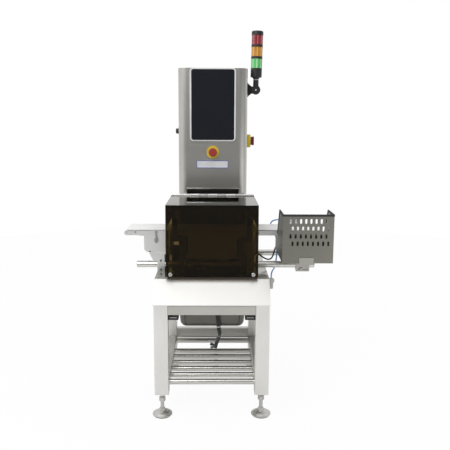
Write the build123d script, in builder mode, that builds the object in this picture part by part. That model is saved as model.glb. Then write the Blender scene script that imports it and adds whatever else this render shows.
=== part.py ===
from build123d import *
import os
from math import atan2, cos, pi, radians, sin, tan

# Checkweigher: a stainless stand with three short belt conveyors in a row (infeed, weigh, outfeed),
# a tinted flip-up hood over the weigh belt, a control cabinet with display and signal tower behind,
# and a slotted reject bin clamped to the front rail. Millimetres, +Z up, the operator stands at -Y
# and the belts run along +X. The origin is on the floor under the middle of the machine's box.

os.makedirs("parts", exist_ok=True)

# Clearances and common thicknesses
seat_gap = 0.3
running_gap = 0.05
sheet = 2
plate = 3

# Stand
frame_width = 490
frame_depth = 600
leg_size = 60
leg_wall = 3
leg_corner = 4
leg_bottom = 104
beam_top = 504
beam_height = 42
side_beam_width = 40
end_plate = 8
cover_overhang = 3
cover_hem = 4
cover_lip = 12

# Shelf of round bars and the rails that carry it
shelf_z = 150
shelf_rail = 40
bar_radius = 12.5
first_bar_y = -262
bar_pitch = 70
front_bar_count = 6
last_bar_y = 229
rear_beam_height = 50
rear_beam_depth = 30

# Levelling feet
foot_radius = 42.5
sole_height = 5
sole_inset = 3
disc_height = 17
hub_radius = 13
hub_height = 34
stud_radius = 8
stud_length = 150
nut_across_flats = 24
nut_height = 18
nut_drops = {"front_left": 20, "front_right": 15, "back_left": 17, "back_right": 19}

# Table cover and the pan that hangs below it
table_z = 596
slope_run = 90
bend_radius = 4
pan_half_width = 158
pan_half_depth = 150
pan_depth = 154
pan_taper = 6
pan_corner = 45
pan_bottom_fillet = 28
pan_flange = 40

# Round rails and the blocks that hold them on the table
rail_radius = 15
rail_z = 628
front_rail_y = -70
back_rail_y = 176
rail_left = -340
back_rail_left = -300
rail_right = 463
block_width = 33
block_depth = 40
block_height = 82
left_block_x = -230.5
right_block_x = 172
screw_spread = 20.5
screw_head_radius = 4
screw_head_height = 4

# Belt conveyors
belt_z = 787
belt_thickness = 2
belt_width = 156
bed_width = 150
conveyor_half_width = 85
plate_step = 3
strip_height = 21
transfer_gap = 5
weigh_half_length = 183
infeed_left = -393
outfeed_right = 500
small_roller = 9
drive_roller = 15
shaft_radius = 5
roller_end_gap = 1
support_plate = 8
deep_bottom = block_height + table_z + support_plate
deep_chamfer = 12
deep_left = -305
lever_x = -250
lever_drop = 7
motor_radius = 24
motor_length = 66
motor_head = 20
infeed_motor_x = -246
weigh_motor_x = 60
motor_back_y = 40
outfeed_motor_x = 436
outfeed_motor_z = 728

# Hood
hood_half_width = 198
hood_front_y = -205
hood_back_y = 138
hood_top_z = 915
hood_bottom_z = 607
hood_lean = 22
hood_sheet = 5
tunnel_half_width = 110
product_height = 28
hood_knob_radius = 8
hood_knob_inset = 21
hinge_pin = 2
hinge_barrel = 4
hinge_knuckles = 9
hinge_leaf_depth = 14
hinge_sheet = 2
rear_wall_gap = 1
wall_notch_gap = 5

# Control cabinet
cabinet_half_width = 164
cabinet_front_y = 150
cabinet_back_y = 350
cabinet_foot_y = 208
cabinet_top = 1511
cabinet_step_z = 946
recess_half_width = 125
column_bottom = 700
cabinet_corner = 40
back_corner = 8
door_half_width = 150
door_bottom = 640
door_top = 1480
door_sheet = 2.5
door_overlap = 8

# Operator controls
display_half_width = 101
display_bottom = 1179
display_top = 1505
display_corner = 10
bezel_margin = 7
bezel_depth = 8
display_box_depth = 45
estop_z = 1122
estop_ring_radius = 30
estop_button_radius = 20
estop_travel = 5
isolator_z = 1173
isolator_y = 250
isolator_plate_size = 62
isolator_depth = 19
socket_z = 1219

# Signal tower
tower_x = 206.5
pivot_z = 1417
tower_lean = 1.2
post_radius = 8.5
knuckle_radius = 22
knuckle_thickness = 14
lens_radius = 27
lens_height = 43.5
ring_height = 11
tower_base_rise = 60
tower_base_height = 42
cap_height = 20

# Reject bin
bin_left = 291
bin_right = 502
bin_front_y = -300
bin_bottom = 687
bin_top = 889
bin_top_depth = 135
bin_belt_depth = 208
bin_floor_depth = 292
bin_step_z = 762
slot_width = 8.5
slot_height = 20
slot_pitch = 21.1
slot_shift = 5
slot_stagger = 4.4
slot_columns = 8
slot_rows = 4
slot_top_z = 873
slot_row_pitch = 31.2
trim_width = 5
trim_height = 9
strap_width = 60
strap_x = 391
strap_lip = 24
clamp_x = 408
clamp_bolt_shift = 7.5

# Air reject
nozzle_x = 386
nozzle_z = 806
nozzle_half_length = 21
nozzle_height = 26
regulator_y = -110
regulator_top = 571
regulator_radius = 11
regulator_standoff = 6
air_port_radius = 4.4
air_port_depth = 9
cable_inlet_radius = 10.25
cable_inlet_z = 640
cable_inlet_y = 300
cable_exit_y = 230
cable_exit_z = 660
gland_radius = 7
gland_length = 12

# Cords
bundle_radius = 8
cable_radius = 3.5
hose_radius = 3

# The frame's centre, measured from the origin under the middle of the whole machine
strap_front = bin_front_y - seat_gap - plate
lock_reach = 16
left_reach = -infeed_left
right_reach = bin_right - sheet / 2 + trim_width / 2
front_reach = frame_depth / 2 - leg_size / 2 + foot_radius
back_reach = cabinet_back_y + seat_gap + door_sheet + lock_reach
mid_x = (left_reach - right_reach) / 2
mid_y = (front_reach - back_reach) / 2


def level(z, x=0, y=0):
    """A sketch plane seen from above, with local x to the right and local y to the back."""
    return Plane((mid_x + x, mid_y + y, z))


def facing_front(y, x=0, z=0):
    """A sketch plane seen by the operator: local x to the right, local y up, normal to the front."""
    return Plane(origin=(mid_x + x, mid_y + y, z), x_dir=(1, 0, 0), z_dir=(0, -1, 0))


def facing_right(x, y=0, z=0):
    """A sketch plane seen from the right end: local x to the back, local y up, normal to the right."""
    return Plane(origin=(mid_x + x, mid_y + y, z), x_dir=(0, 1, 0), z_dir=(1, 0, 0))


def publish(piece, name):
    """Label a finished piece and write it to its own file."""
    piece.part.label = name
    export_step(piece.part, f"parts/{name}.step")


def tangent_radii(points, smallest):
    """Radii for a cord's bends: 0.45 of the shorter run, divided by the tangent of half the turn."""
    radii = []
    for before, here, after in zip(points, points[1:], points[2:]):
        run_in = Vector(*here) - Vector(*before)
        run_out = Vector(*after) - Vector(*here)
        turn = radians(run_in.get_angle(run_out))
        shorter = min(run_in.length, run_out.length)
        radii.append(max(smallest, 0.45 * shorter / tan(turn / 2)))
    return radii


def cord(name, points, radius):
    """A round cord along straight runs joined by tangent arcs."""
    placed = [(mid_x + x, mid_y + y, z) for x, y, z in points]
    radii = tangent_radii(placed, 3 * radius)
    with BuildPart() as tube:
        with BuildLine() as route:
            FilletPolyline(*placed, radius=radii)
        path = route.wires()[0]
        with BuildSketch(Plane(origin=path @ 0, z_dir=path % 0)):
            Circle(radius)
        sweep(path=path)
    expected = pi * radius**2 * path.length
    print(name, "radii", [round(r) for r in radii], "volume ratio", round(tube.part.volume / expected, 4))
    publish(tube, name)


# Stand: four legs joined at their tops by a ring of beams
leg_x = frame_width / 2 - leg_size / 2
leg_y = frame_depth / 2 - leg_size / 2
leg_inner = leg_size - 2 * leg_wall

with BuildPart() as legs:
    with BuildSketch(level(leg_bottom)):
        with GridLocations(2 * leg_x, 2 * leg_y, 2, 2):
            RectangleRounded(leg_size, leg_size, leg_corner)
            Rectangle(leg_inner, leg_inner, mode=Mode.SUBTRACT)
    extrude(amount=beam_top - leg_bottom)
    with BuildSketch(level(leg_bottom)):
        with GridLocations(2 * leg_x, 2 * leg_y, 2, 2):
            Rectangle(leg_inner, leg_inner)
            Circle(stud_radius + running_gap, mode=Mode.SUBTRACT)
    extrude(amount=end_plate)
publish(legs, "legs")

side_beam_x = frame_width / 2 - side_beam_width / 2
beam_run = frame_depth - 2 * leg_size

shelf_half = frame_width / 2 - leg_size
shelf_rail_x = shelf_half + shelf_rail / 2
rear_beam_bottom = shelf_z + bar_radius - 1

with BuildPart() as frame_rails:
    with BuildSketch(facing_right(-shelf_half)):
        with Locations((-leg_y, beam_top - beam_height / 2), (leg_y, beam_top - beam_height / 2)):
            RectangleRounded(leg_size, beam_height, leg_corner)
            Rectangle(leg_inner, beam_height - 2 * leg_wall, mode=Mode.SUBTRACT)
    extrude(amount=2 * shelf_half)
    with BuildSketch(facing_front(beam_run / 2)):
        with Locations((-side_beam_x, beam_top - beam_height / 2), (side_beam_x, beam_top - beam_height / 2)):
            Rectangle(side_beam_width, beam_height)
            Rectangle(side_beam_width - 2 * leg_wall, beam_height - 2 * leg_wall, mode=Mode.SUBTRACT)
    extrude(amount=beam_run)
    with BuildSketch(facing_front(beam_run / 2)):
        with Locations((-shelf_rail_x, shelf_z), (shelf_rail_x, shelf_z)):
            RectangleRounded(shelf_rail, shelf_rail, leg_corner)
            Rectangle(shelf_rail - 2 * leg_wall, shelf_rail - 2 * leg_wall, mode=Mode.SUBTRACT)
    extrude(amount=beam_run)
    with BuildSketch(facing_right(-shelf_half)):
        with Locations((beam_run / 2 + rear_beam_depth / 2, rear_beam_bottom + rear_beam_height / 2)):
            Rectangle(rear_beam_depth, rear_beam_height)
            Rectangle(rear_beam_depth - 2 * leg_wall, rear_beam_height - 2 * leg_wall, mode=Mode.SUBTRACT)
    extrude(amount=2 * shelf_half)
publish(frame_rails, "frame_rails")

bar_ys = [first_bar_y + bar_pitch * index for index in range(front_bar_count)] + [last_bar_y]

with BuildPart() as shelf_bars:
    with BuildSketch(facing_right(-shelf_half)):
        with Locations([(bar_y, shelf_z) for bar_y in bar_ys]):
            Circle(bar_radius)
    extrude(amount=2 * shelf_half)
publish(shelf_bars, "shelf_bars")

# Levelling feet: a domed disc on a rubber sole, a hub, a threaded stud and its lock nut
stud_top = sole_height + stud_length
corners = {"front_left": (-1, -1), "front_right": (1, -1), "back_left": (-1, 1), "back_right": (1, 1)}

for corner, (side_x, side_y) in corners.items():
    foot_x = side_x * leg_x
    foot_y = side_y * leg_y

    with BuildPart() as foot:
        with BuildSketch(facing_front(foot_y, x=foot_x)):
            with BuildLine():
                Polyline((0, sole_height), (foot_radius, sole_height), (foot_radius, sole_height + 4))
                Line((foot_radius, sole_height + 4), (foot_radius - 5, sole_height + 7))
                ThreePointArc(
                    (foot_radius - 5, sole_height + 7),
                    (foot_radius * 0.6, sole_height + disc_height * 0.82),
                    (hub_radius, sole_height + disc_height),
                )
                Line((hub_radius, sole_height + disc_height), (hub_radius - 2, hub_height))
                Line((hub_radius - 2, hub_height), (stud_radius, hub_height))
                Polyline((stud_radius, hub_height), (stud_radius, stud_top), (0, stud_top), (0, sole_height))
            make_face()
        revolve(axis=Axis((mid_x + foot_x, mid_y + foot_y, 0), (0, 0, 1)))
        with BuildSketch(level(leg_bottom - nut_drops[corner] - nut_height, foot_x, foot_y)):
            RegularPolygon(nut_across_flats / 2, 6, major_radius=False)
            Circle(stud_radius + running_gap, mode=Mode.SUBTRACT)
        extrude(amount=nut_height)
    publish(foot, f"foot_{corner}")

    with BuildPart() as sole:
        with BuildSketch(level(0, foot_x, foot_y)):
            Circle(foot_radius - sole_inset)
        extrude(amount=sole_height)
        chamfer(sole.edges().group_by(Axis.Z)[0], length=1.5)
    publish(sole, f"sole_{corner}")

# Table cover: folded sheet with a sloped front, its lip turned in over the beams
cover_half_width = frame_width / 2 + cover_overhang
cover_half_depth = frame_depth / 2 + cover_overhang

with BuildPart() as table_cover:
    with BuildSketch(facing_right(-cover_half_width)):
        with BuildLine():
            Polyline(
                (-cover_half_depth, beam_top),
                (-cover_half_depth, beam_top + cover_hem),
                (-frame_depth / 2 + slope_run, table_z),
                (cover_half_depth, table_z),
                (cover_half_depth, beam_top),
                close=True,
            )
        make_face()
    extrude(amount=2 * cover_half_width)
    fillet(table_cover.edges().filter_by(Axis.X).group_by(Axis.Z)[-1], radius=bend_radius)
    offset(amount=-sheet, openings=table_cover.faces().sort_by(Axis.Z)[0])
    with BuildSketch(level(beam_top)):
        Rectangle(2 * cover_half_width, 2 * cover_half_depth)
        Rectangle(2 * (cover_half_width - cover_lip), 2 * (cover_half_depth - cover_lip), mode=Mode.SUBTRACT)
    extrude(amount=sheet)
publish(table_cover, "table_cover")

# Pan: deep drawn, tapered, its flange lying on the side beams
flange_x = 2 * (frame_width / 2 - 5 * sheet)
flange_y = 2 * (pan_half_depth + pan_flange)


def drawn_pan(inset):
    """The pan's tapered body with rounded bottom edges, inset by a wall."""
    with BuildPart() as body:
        with BuildSketch(level(beam_top)):
            RectangleRounded(2 * (pan_half_width - inset), 2 * (pan_half_depth - inset), pan_corner - inset)
        extrude(amount=inset - pan_depth, taper=pan_taper)
        fillet(body.faces().sort_by(Axis.Z)[0].edges(), radius=pan_bottom_fillet - inset)
    return body.part


pan_outside = drawn_pan(0)
pan_inside = drawn_pan(sheet)

with BuildPart() as hanging_pan:
    add(pan_outside)
    with BuildSketch(level(beam_top)):
        RectangleRounded(flange_x, flange_y, leg_corner)
        RectangleRounded(
            2 * (pan_half_width - sheet), 2 * (pan_half_depth - sheet), pan_corner - sheet, mode=Mode.SUBTRACT
        )
    extrude(amount=sheet)
    add(pan_inside, mode=Mode.SUBTRACT)
publish(hanging_pan, "hanging_pan")

# Round rails across the machine and the split blocks that hold them
rails_at = [(front_rail_y, rail_left), (back_rail_y, back_rail_left)]

with BuildPart() as guide_rails:
    for rail_y, rail_start in rails_at:
        with BuildSketch(facing_right(rail_start, y=rail_y, z=rail_z)):
            Circle(rail_radius)
        extrude(amount=rail_right - rail_start)
    chamfer(guide_rails.edges().filter_by(GeomType.CIRCLE), length=1.5)
publish(guide_rails, "guide_rails")

block_spots = [(x, y) for x in (left_block_x, right_block_x) for y in (front_rail_y, back_rail_y)]

with BuildPart() as rail_blocks:
    for block_x, block_y in block_spots:
        with BuildSketch(facing_right(block_x - block_width / 2, y=block_y)):
            with Locations((0, table_z + block_height / 2)):
                Rectangle(block_depth, block_height)
            with Locations((0, rail_z)):
                Circle(rail_radius + running_gap, mode=Mode.SUBTRACT)
        extrude(amount=block_width)
        with BuildSketch(facing_front(block_y - block_depth / 2, x=block_x, z=rail_z)):
            with Locations((0, screw_spread), (0, -screw_spread)):
                Circle(screw_head_radius / 2 + running_gap)
        extrude(amount=-block_depth / 2, mode=Mode.SUBTRACT)
publish(rail_blocks, "rail_blocks")

with BuildPart() as block_screws:
    for block_x, block_y in block_spots:
        with BuildSketch(facing_front(block_y - block_depth / 2, x=block_x, z=rail_z)):
            with Locations((0, screw_spread), (0, -screw_spread)):
                Circle(screw_head_radius)
        extrude(amount=screw_head_height)
        with BuildSketch(facing_front(block_y - block_depth / 2, x=block_x, z=rail_z)):
            with Locations((0, screw_spread), (0, -screw_spread)):
                Circle(screw_head_radius / 2)
        extrude(amount=-block_depth / 2 + 1)
        with BuildSketch(facing_front(block_y - block_depth / 2 - screw_head_height, x=block_x, z=rail_z)):
            with Locations((0, screw_spread), (0, -screw_spread)):
                RegularPolygon(screw_head_radius / 2, 6)
        extrude(amount=-screw_head_height / 2, mode=Mode.SUBTRACT)
publish(block_screws, "block_screws")

# Conveyor geometry: each belt's top run lies at belt_z, so a roller's axis hangs below it
weigh_left = -weigh_half_length
infeed_right = weigh_left - transfer_gap
outfeed_left = weigh_half_length + transfer_gap
plate_top = belt_z - plate_step
strip_bottom = plate_top - strip_height
inner_half_width = conveyor_half_width - plate
lever_z = plate_top - lever_drop


def axis_z(radius):
    """Height of a roller's axis under the belt's top run."""
    return belt_z - belt_thickness - seat_gap - radius


def end_x(end, radius, side):
    """A roller's axis, set in from its conveyor's end so that the belt clears it."""
    return end + side * (radius + seat_gap + belt_thickness + 1)


conveyors = {
    "infeed": (infeed_left, infeed_right, small_roller, drive_roller),
    "weigh": (weigh_left, weigh_half_length, small_roller, drive_roller),
    "outfeed": (outfeed_left, outfeed_right, small_roller, small_roller),
}
roller_axes = {}
for line, (left, right, left_radius, right_radius) in conveyors.items():
    roller_axes[line] = [
        (end_x(left, left_radius, 1), left_radius),
        (end_x(right, right_radius, -1), right_radius),
    ]

# Rollers with their shafts
for line, ends in roller_axes.items():
    for (roller_x, radius), kind in zip(ends, ("nose", "drive")):
        with BuildPart() as roller:
            with BuildSketch(facing_front(inner_half_width - roller_end_gap, x=roller_x, z=axis_z(radius))):
                Circle(radius)
            extrude(amount=2 * (inner_half_width - roller_end_gap))
            chamfer(roller.edges().filter_by(GeomType.CIRCLE), length=0.8)
            with BuildSketch(facing_front(conveyor_half_width, x=roller_x, z=axis_z(radius))):
                Circle(shaft_radius)
            extrude(amount=2 * conveyor_half_width)
        publish(roller, f"{line}_{kind}_roller")

# Endless belts, stretched round each pair of rollers
with BuildPart() as conveyor_belts:
    for ends in roller_axes.values():
        with BuildSketch(facing_front(belt_width / 2)) as belt_outline:
            for roller_x, radius in ends:
                with Locations((roller_x, axis_z(radius))):
                    Circle(radius + seat_gap + belt_thickness)
            make_hull()
        with BuildSketch(facing_front(belt_width / 2)) as belt_inside:
            for roller_x, radius in ends:
                with Locations((roller_x, axis_z(radius))):
                    Circle(radius + seat_gap)
            make_hull()
        extrude(belt_outline.sketch, amount=belt_width)
        extrude(belt_inside.sketch, amount=belt_width, mode=Mode.SUBTRACT)
publish(conveyor_belts, "conveyor_belts")

# Slider beds between the rollers, their edges turned out to the side plates through tie bars
bed_top = belt_z - belt_thickness - seat_gap
bed_height = 12

with BuildPart() as slider_beds:
    for (left_x, left_radius), (right_x, right_radius) in roller_axes.values():
        bed_left = left_x + left_radius + 4
        bed_right = right_x - right_radius - 4
        with BuildSketch(facing_front(bed_width / 2)):
            with Locations(((bed_left + bed_right) / 2, bed_top - bed_height / 2)):
                Rectangle(bed_right - bed_left, bed_height)
                Rectangle(bed_right - bed_left - 2 * sheet, bed_height - 2 * sheet, mode=Mode.SUBTRACT)
        extrude(amount=bed_width)
        with BuildSketch(facing_front(inner_half_width)):
            with Locations((bed_left + 20, bed_top - bed_height / 2), (bed_right - 20, bed_top - bed_height / 2)):
                Circle(bed_height / 2 - sheet / 2)
        extrude(amount=2 * inner_half_width)
publish(slider_beds, "slider_beds")

# Side plates: a narrow strip with a rounded nose, and a deep skirt that stands on the supports
weigh_skirt = 110
platform_top = 664
outfeed_foot_left = 150
outfeed_foot_right = 196
skirts = {
    "infeed": [
        (deep_left, plate_top - 1),
        (deep_left, deep_bottom + deep_chamfer),
        (deep_left + deep_chamfer, deep_bottom),
        (infeed_right, deep_bottom),
        (infeed_right, plate_top - 1),
    ],
    "weigh": [
        (-weigh_skirt, plate_top - 1),
        (-weigh_skirt, platform_top),
        (weigh_skirt, platform_top),
        (weigh_skirt, strip_bottom - 16),
        (weigh_half_length, strip_bottom - 16),
        (weigh_half_length, plate_top - 1),
    ],
    "outfeed": [
        (outfeed_foot_right, plate_top - 1),
        (outfeed_foot_right, deep_bottom),
        (outfeed_foot_left, deep_bottom),
        (outfeed_foot_left, strip_bottom - 28),
        (outfeed_left, strip_bottom - 20),
        (outfeed_left, plate_top - 1),
    ],
}

with BuildPart() as side_plates:
    for plate_y in (-inner_half_width, conveyor_half_width):
        for line, (left, right, left_radius, right_radius) in conveyors.items():
            nose = strip_height / 2
            square_end = right if line == "infeed" else right - nose
            with BuildSketch(facing_front(plate_y)):
                with Locations(((left + nose + square_end) / 2, plate_top - nose)):
                    Rectangle(square_end - left - nose, strip_height)
                with Locations((left + nose, plate_top - nose), (square_end, plate_top - nose)):
                    Circle(nose)
                if line == "infeed":
                    with Locations((right + nose, plate_top - nose)):
                        Rectangle(2 * nose, 3 * nose, mode=Mode.SUBTRACT)
                with BuildLine():
                    Polyline(*skirts[line], close=True)
                make_face()
                for roller_x, radius in roller_axes[line]:
                    with Locations((roller_x, axis_z(radius))):
                        Circle(shaft_radius + running_gap, mode=Mode.SUBTRACT)
            extrude(amount=plate)
    with BuildSketch(facing_front(conveyor_half_width)):
        with Locations((lever_x, lever_z)):
            Circle(3 + running_gap)
    extrude(amount=2 * conveyor_half_width, mode=Mode.SUBTRACT)
publish(side_plates, "side_plates")

# Supports: a base plate over each pair of rail blocks, with gussets under the infeed skirt
support_back = back_rail_y + block_depth / 2
support_front = front_rail_y - block_depth / 2
support_bottom = deep_bottom - support_plate
gusset_width = 34
gusset_height = 34

with BuildPart() as conveyor_supports:
    with BuildSketch(level(support_bottom)):
        for left, right in ((deep_left + 2 * deep_chamfer, infeed_right), (outfeed_foot_left, outfeed_foot_right)):
            with Locations(((left + right) / 2, (support_front + support_back) / 2)):
                Rectangle(right - left, support_back - support_front)
    extrude(amount=support_plate)
    for gusset_y in (-conveyor_half_width + plate, conveyor_half_width):
        block_left = left_block_x - block_width / 2
        with BuildSketch(facing_front(gusset_y)):
            with BuildLine():
                Polyline(
                    (block_left - gusset_width, support_bottom),
                    (block_left, support_bottom),
                    (block_left, support_bottom - gusset_height),
                    (block_left - gusset_width / 2, support_bottom - gusset_height),
                    close=True,
                )
            make_face()
        extrude(amount=plate)
publish(conveyor_supports, "conveyor_supports")

# Quick-release lever on the infeed: a pivot pin, a neck and a drop-shaped thumb pad
with BuildPart() as release_lever:
    with BuildSketch(facing_front(-conveyor_half_width - seat_gap, x=lever_x, z=lever_z)):
        Circle(5.5)
        with Locations((0, -14)):
            Rectangle(8, 28)
        with Locations((0, -36)):
            Ellipse(8.5, 13)
    extrude(amount=5)
    with BuildSketch(facing_front(-inner_half_width, x=lever_x, z=lever_z)):
        Circle(3)
    extrude(amount=plate + seat_gap)
publish(release_lever, "release_lever")

# Motors with square gear heads, each hung inside or behind its conveyor
with BuildPart() as conveyor_motors:
    motors = [
        (infeed_motor_x, motor_back_y, deep_bottom + motor_radius),
        (weigh_motor_x, motor_back_y, platform_top + motor_radius),
        (outfeed_motor_x, conveyor_half_width + motor_length + motor_head, outfeed_motor_z),
    ]
    for motor_x, motor_back, motor_z in motors:
        with BuildSketch(facing_front(motor_back, x=motor_x, z=motor_z)):
            Circle(motor_radius)
        extrude(amount=motor_length)
        with BuildSketch(facing_front(motor_back - motor_length, x=motor_x, z=motor_z)):
            RectangleRounded(2 * motor_radius, 2 * motor_radius, 6)
        extrude(amount=motor_head)
    with BuildSketch(facing_front(conveyor_half_width, x=outfeed_motor_x)):
        with Locations((0, (outfeed_motor_z + motor_radius + plate_top) / 2)):
            Rectangle(2 * motor_radius, plate_top - outfeed_motor_z - motor_radius)
    extrude(amount=-plate)
publish(conveyor_motors, "conveyor_motors")

# Load cell: a milled bar with its two joined sensing holes, and the platform on it
cell_length = 150
cell_width = 40
cell_height = 40
spacer = 10
spacer_length = 44
platform_plate = 8

with BuildPart() as load_cell:
    with BuildSketch(facing_front(cell_width / 2, z=table_z + spacer + cell_height / 2)):
        Rectangle(cell_length, cell_height)
        with Locations((-13, 0), (13, 0)):
            Circle(11, mode=Mode.SUBTRACT)
        Rectangle(26, 6, mode=Mode.SUBTRACT)
    extrude(amount=cell_width)
publish(load_cell, "load_cell")

with BuildPart() as weigh_platform:
    with BuildSketch(level(table_z)):
        with Locations((-cell_length / 2 + spacer_length / 2, 0)):
            Rectangle(spacer_length, cell_width + 20)
    extrude(amount=spacer)
    with BuildSketch(level(table_z + spacer + cell_height)):
        with Locations((cell_length / 2 - spacer_length / 2, 0)):
            Rectangle(spacer_length, cell_width)
    extrude(amount=platform_top - platform_plate - table_z - spacer - cell_height)
    with BuildSketch(level(platform_top - platform_plate)):
        RectangleRounded(2 * weigh_skirt + 10, 2 * conveyor_half_width, 6)
    extrude(amount=platform_plate)
publish(weigh_platform, "weigh_platform")

# Photo sensors on folded posts beside both transfer gaps
post_x = weigh_half_length - 18
post_width = 24
post_front = conveyor_half_width + 8
post_top = belt_z + 62

with BuildPart() as sensor_posts:
    for side_x in (-1, 1):
        for side_y in (-1, 1):
            with BuildSketch(level(table_z)):
                with Locations((side_x * (weigh_skirt + 26), side_y * (post_front + plate / 2))):
                    Rectangle(post_width, plate)
            extrude(amount=belt_z - 40 - table_z)
            with BuildSketch(facing_front(side_y * (post_front + plate / 2) + plate / 2)):
                with Locations((side_x * (weigh_skirt + 38), belt_z - 40)):
                    Rectangle(post_width * 2, 20)
                with Locations((side_x * post_x, (belt_z - 50 + post_top) / 2)):
                    Rectangle(post_width, post_top - belt_z + 50)
            extrude(amount=plate)
publish(sensor_posts, "sensor_posts")

head_size = 18
head_height = 32
with BuildPart() as sensor_heads:
    for side_x in (-1, 1):
        for side_y in (-1, 1):
            head_y = side_y * (post_front + plate) + side_y * head_size / 2
            with BuildSketch(level(post_top - head_height - 6)):
                with Locations((side_x * post_x, head_y)):
                    RectangleRounded(post_width - 6, head_size, 2)
            extrude(amount=head_height)
publish(sensor_heads, "sensor_heads")

# Hood: bonded sheet with open tunnels at both ends, hinged along its back top edge
tunnel_top = belt_z + product_height
hood_axis_y = hood_back_y
hood_axis_z = hood_top_z + seat_gap + hinge_barrel
front_bottom_y = hood_front_y - hood_lean

with BuildPart() as hood_cover:
    hood_outline = [
        (hood_back_y, hood_top_z),
        (hood_front_y, hood_top_z),
        (front_bottom_y, hood_bottom_z),
        (-tunnel_half_width, hood_bottom_z),
        (-tunnel_half_width, tunnel_top),
        (hood_back_y, tunnel_top),
    ]
    with BuildSketch(facing_right(-hood_half_width)):
        with BuildLine():
            Polyline(*hood_outline, close=True)
        make_face()
    extrude(amount=2 * hood_half_width)
    with BuildSketch(facing_right(-hood_half_width + hood_sheet)):
        with BuildLine():
            Polyline(
                (hood_back_y + 1, hood_top_z - hood_sheet),
                (hood_front_y + hood_sheet, hood_top_z - hood_sheet),
                (front_bottom_y + hood_sheet, hood_bottom_z - 1),
                (hood_back_y + 1, hood_bottom_z - 1),
                close=True,
            )
        make_face()
    extrude(amount=2 * (hood_half_width - hood_sheet), mode=Mode.SUBTRACT)
publish(hood_cover, "hood_cover")

lean_angle = atan2(hood_lean, hood_top_z - hood_bottom_z)
knob_plane = Plane(
    origin=(mid_x, mid_y + front_bottom_y, hood_bottom_z),
    x_dir=(1, 0, 0),
    z_dir=(0, -cos(lean_angle), sin(lean_angle)),
)
knob_x = hood_half_width - hood_knob_inset
knob_rise = 14

knuckle_pitch = 2 * hood_half_width / hinge_knuckles
knuckle_starts = [-hood_half_width + knuckle_pitch * index for index in range(hinge_knuckles)]
fixed_starts = knuckle_starts[0::2]
moving_starts = knuckle_starts[1::2]
leaf_bottom = hood_top_z + seat_gap

# Knobs at its lower corners, and the moving leaf of a full-length hinge on its top
with BuildPart() as hood_fittings:
    with BuildSketch(knob_plane):
        with Locations((-knob_x, knob_rise), (knob_x, knob_rise)):
            Circle(hood_knob_radius * 0.6)
    extrude(amount=5)
    with BuildSketch(knob_plane.offset(5)):
        with Locations((-knob_x, knob_rise), (knob_x, knob_rise)):
            Circle(hood_knob_radius)
    extrude(amount=8)
    fillet(hood_fittings.edges().filter_by(GeomType.CIRCLE).group_by(Axis.Y)[0], radius=2)
    with BuildSketch(facing_right(-hood_half_width)):
        with Locations((hood_axis_y - hinge_barrel - hinge_leaf_depth / 2, leaf_bottom + hinge_sheet / 2)):
            Rectangle(hinge_leaf_depth, hinge_sheet)
    extrude(amount=2 * hood_half_width)
    for start in moving_starts:
        with BuildSketch(facing_right(start + seat_gap)):
            with Locations((hood_axis_y, hood_axis_z)):
                Circle(hinge_barrel)
            with Locations((hood_axis_y - hinge_barrel, leaf_bottom + hinge_sheet / 2)):
                Rectangle(2 * hinge_barrel, hinge_sheet)
            with Locations((hood_axis_y, hood_axis_z)):
                Circle(hinge_pin + running_gap, mode=Mode.SUBTRACT)
        extrude(amount=knuckle_pitch - 2 * seat_gap)
publish(hood_fittings, "hood_fittings")

# Cabinet: a wrap with large front corners, recessed behind the hood, its back open for the door
cabinet_floor = table_z


def cabinet_plan(front_y, front_corner, inset):
    """The cabinet's outline seen from above, inset by a wall."""
    half = cabinet_half_width - inset
    near = front_y + inset
    far = cabinet_back_y - inset
    radius = max(front_corner - inset, 1)
    with BuildSketch() as plan:
        with BuildLine():
            Line((-half + radius, near), (half - radius, near))
            RadiusArc((half - radius, near), (half, near + radius), -radius)
            Polyline((half, near + radius), (half, far), (-half, far), (-half, near + radius))
            RadiusArc((-half, near + radius), (-half + radius, near), -radius)
        make_face()
    return plan.sketch


foot_plan = cabinet_plan(cabinet_foot_y, back_corner, 0)
foot_room = cabinet_plan(cabinet_foot_y, back_corner, sheet)
head_plan = cabinet_plan(cabinet_front_y, cabinet_corner, 0)
head_room = cabinet_plan(cabinet_front_y, cabinet_corner, sheet)


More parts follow.
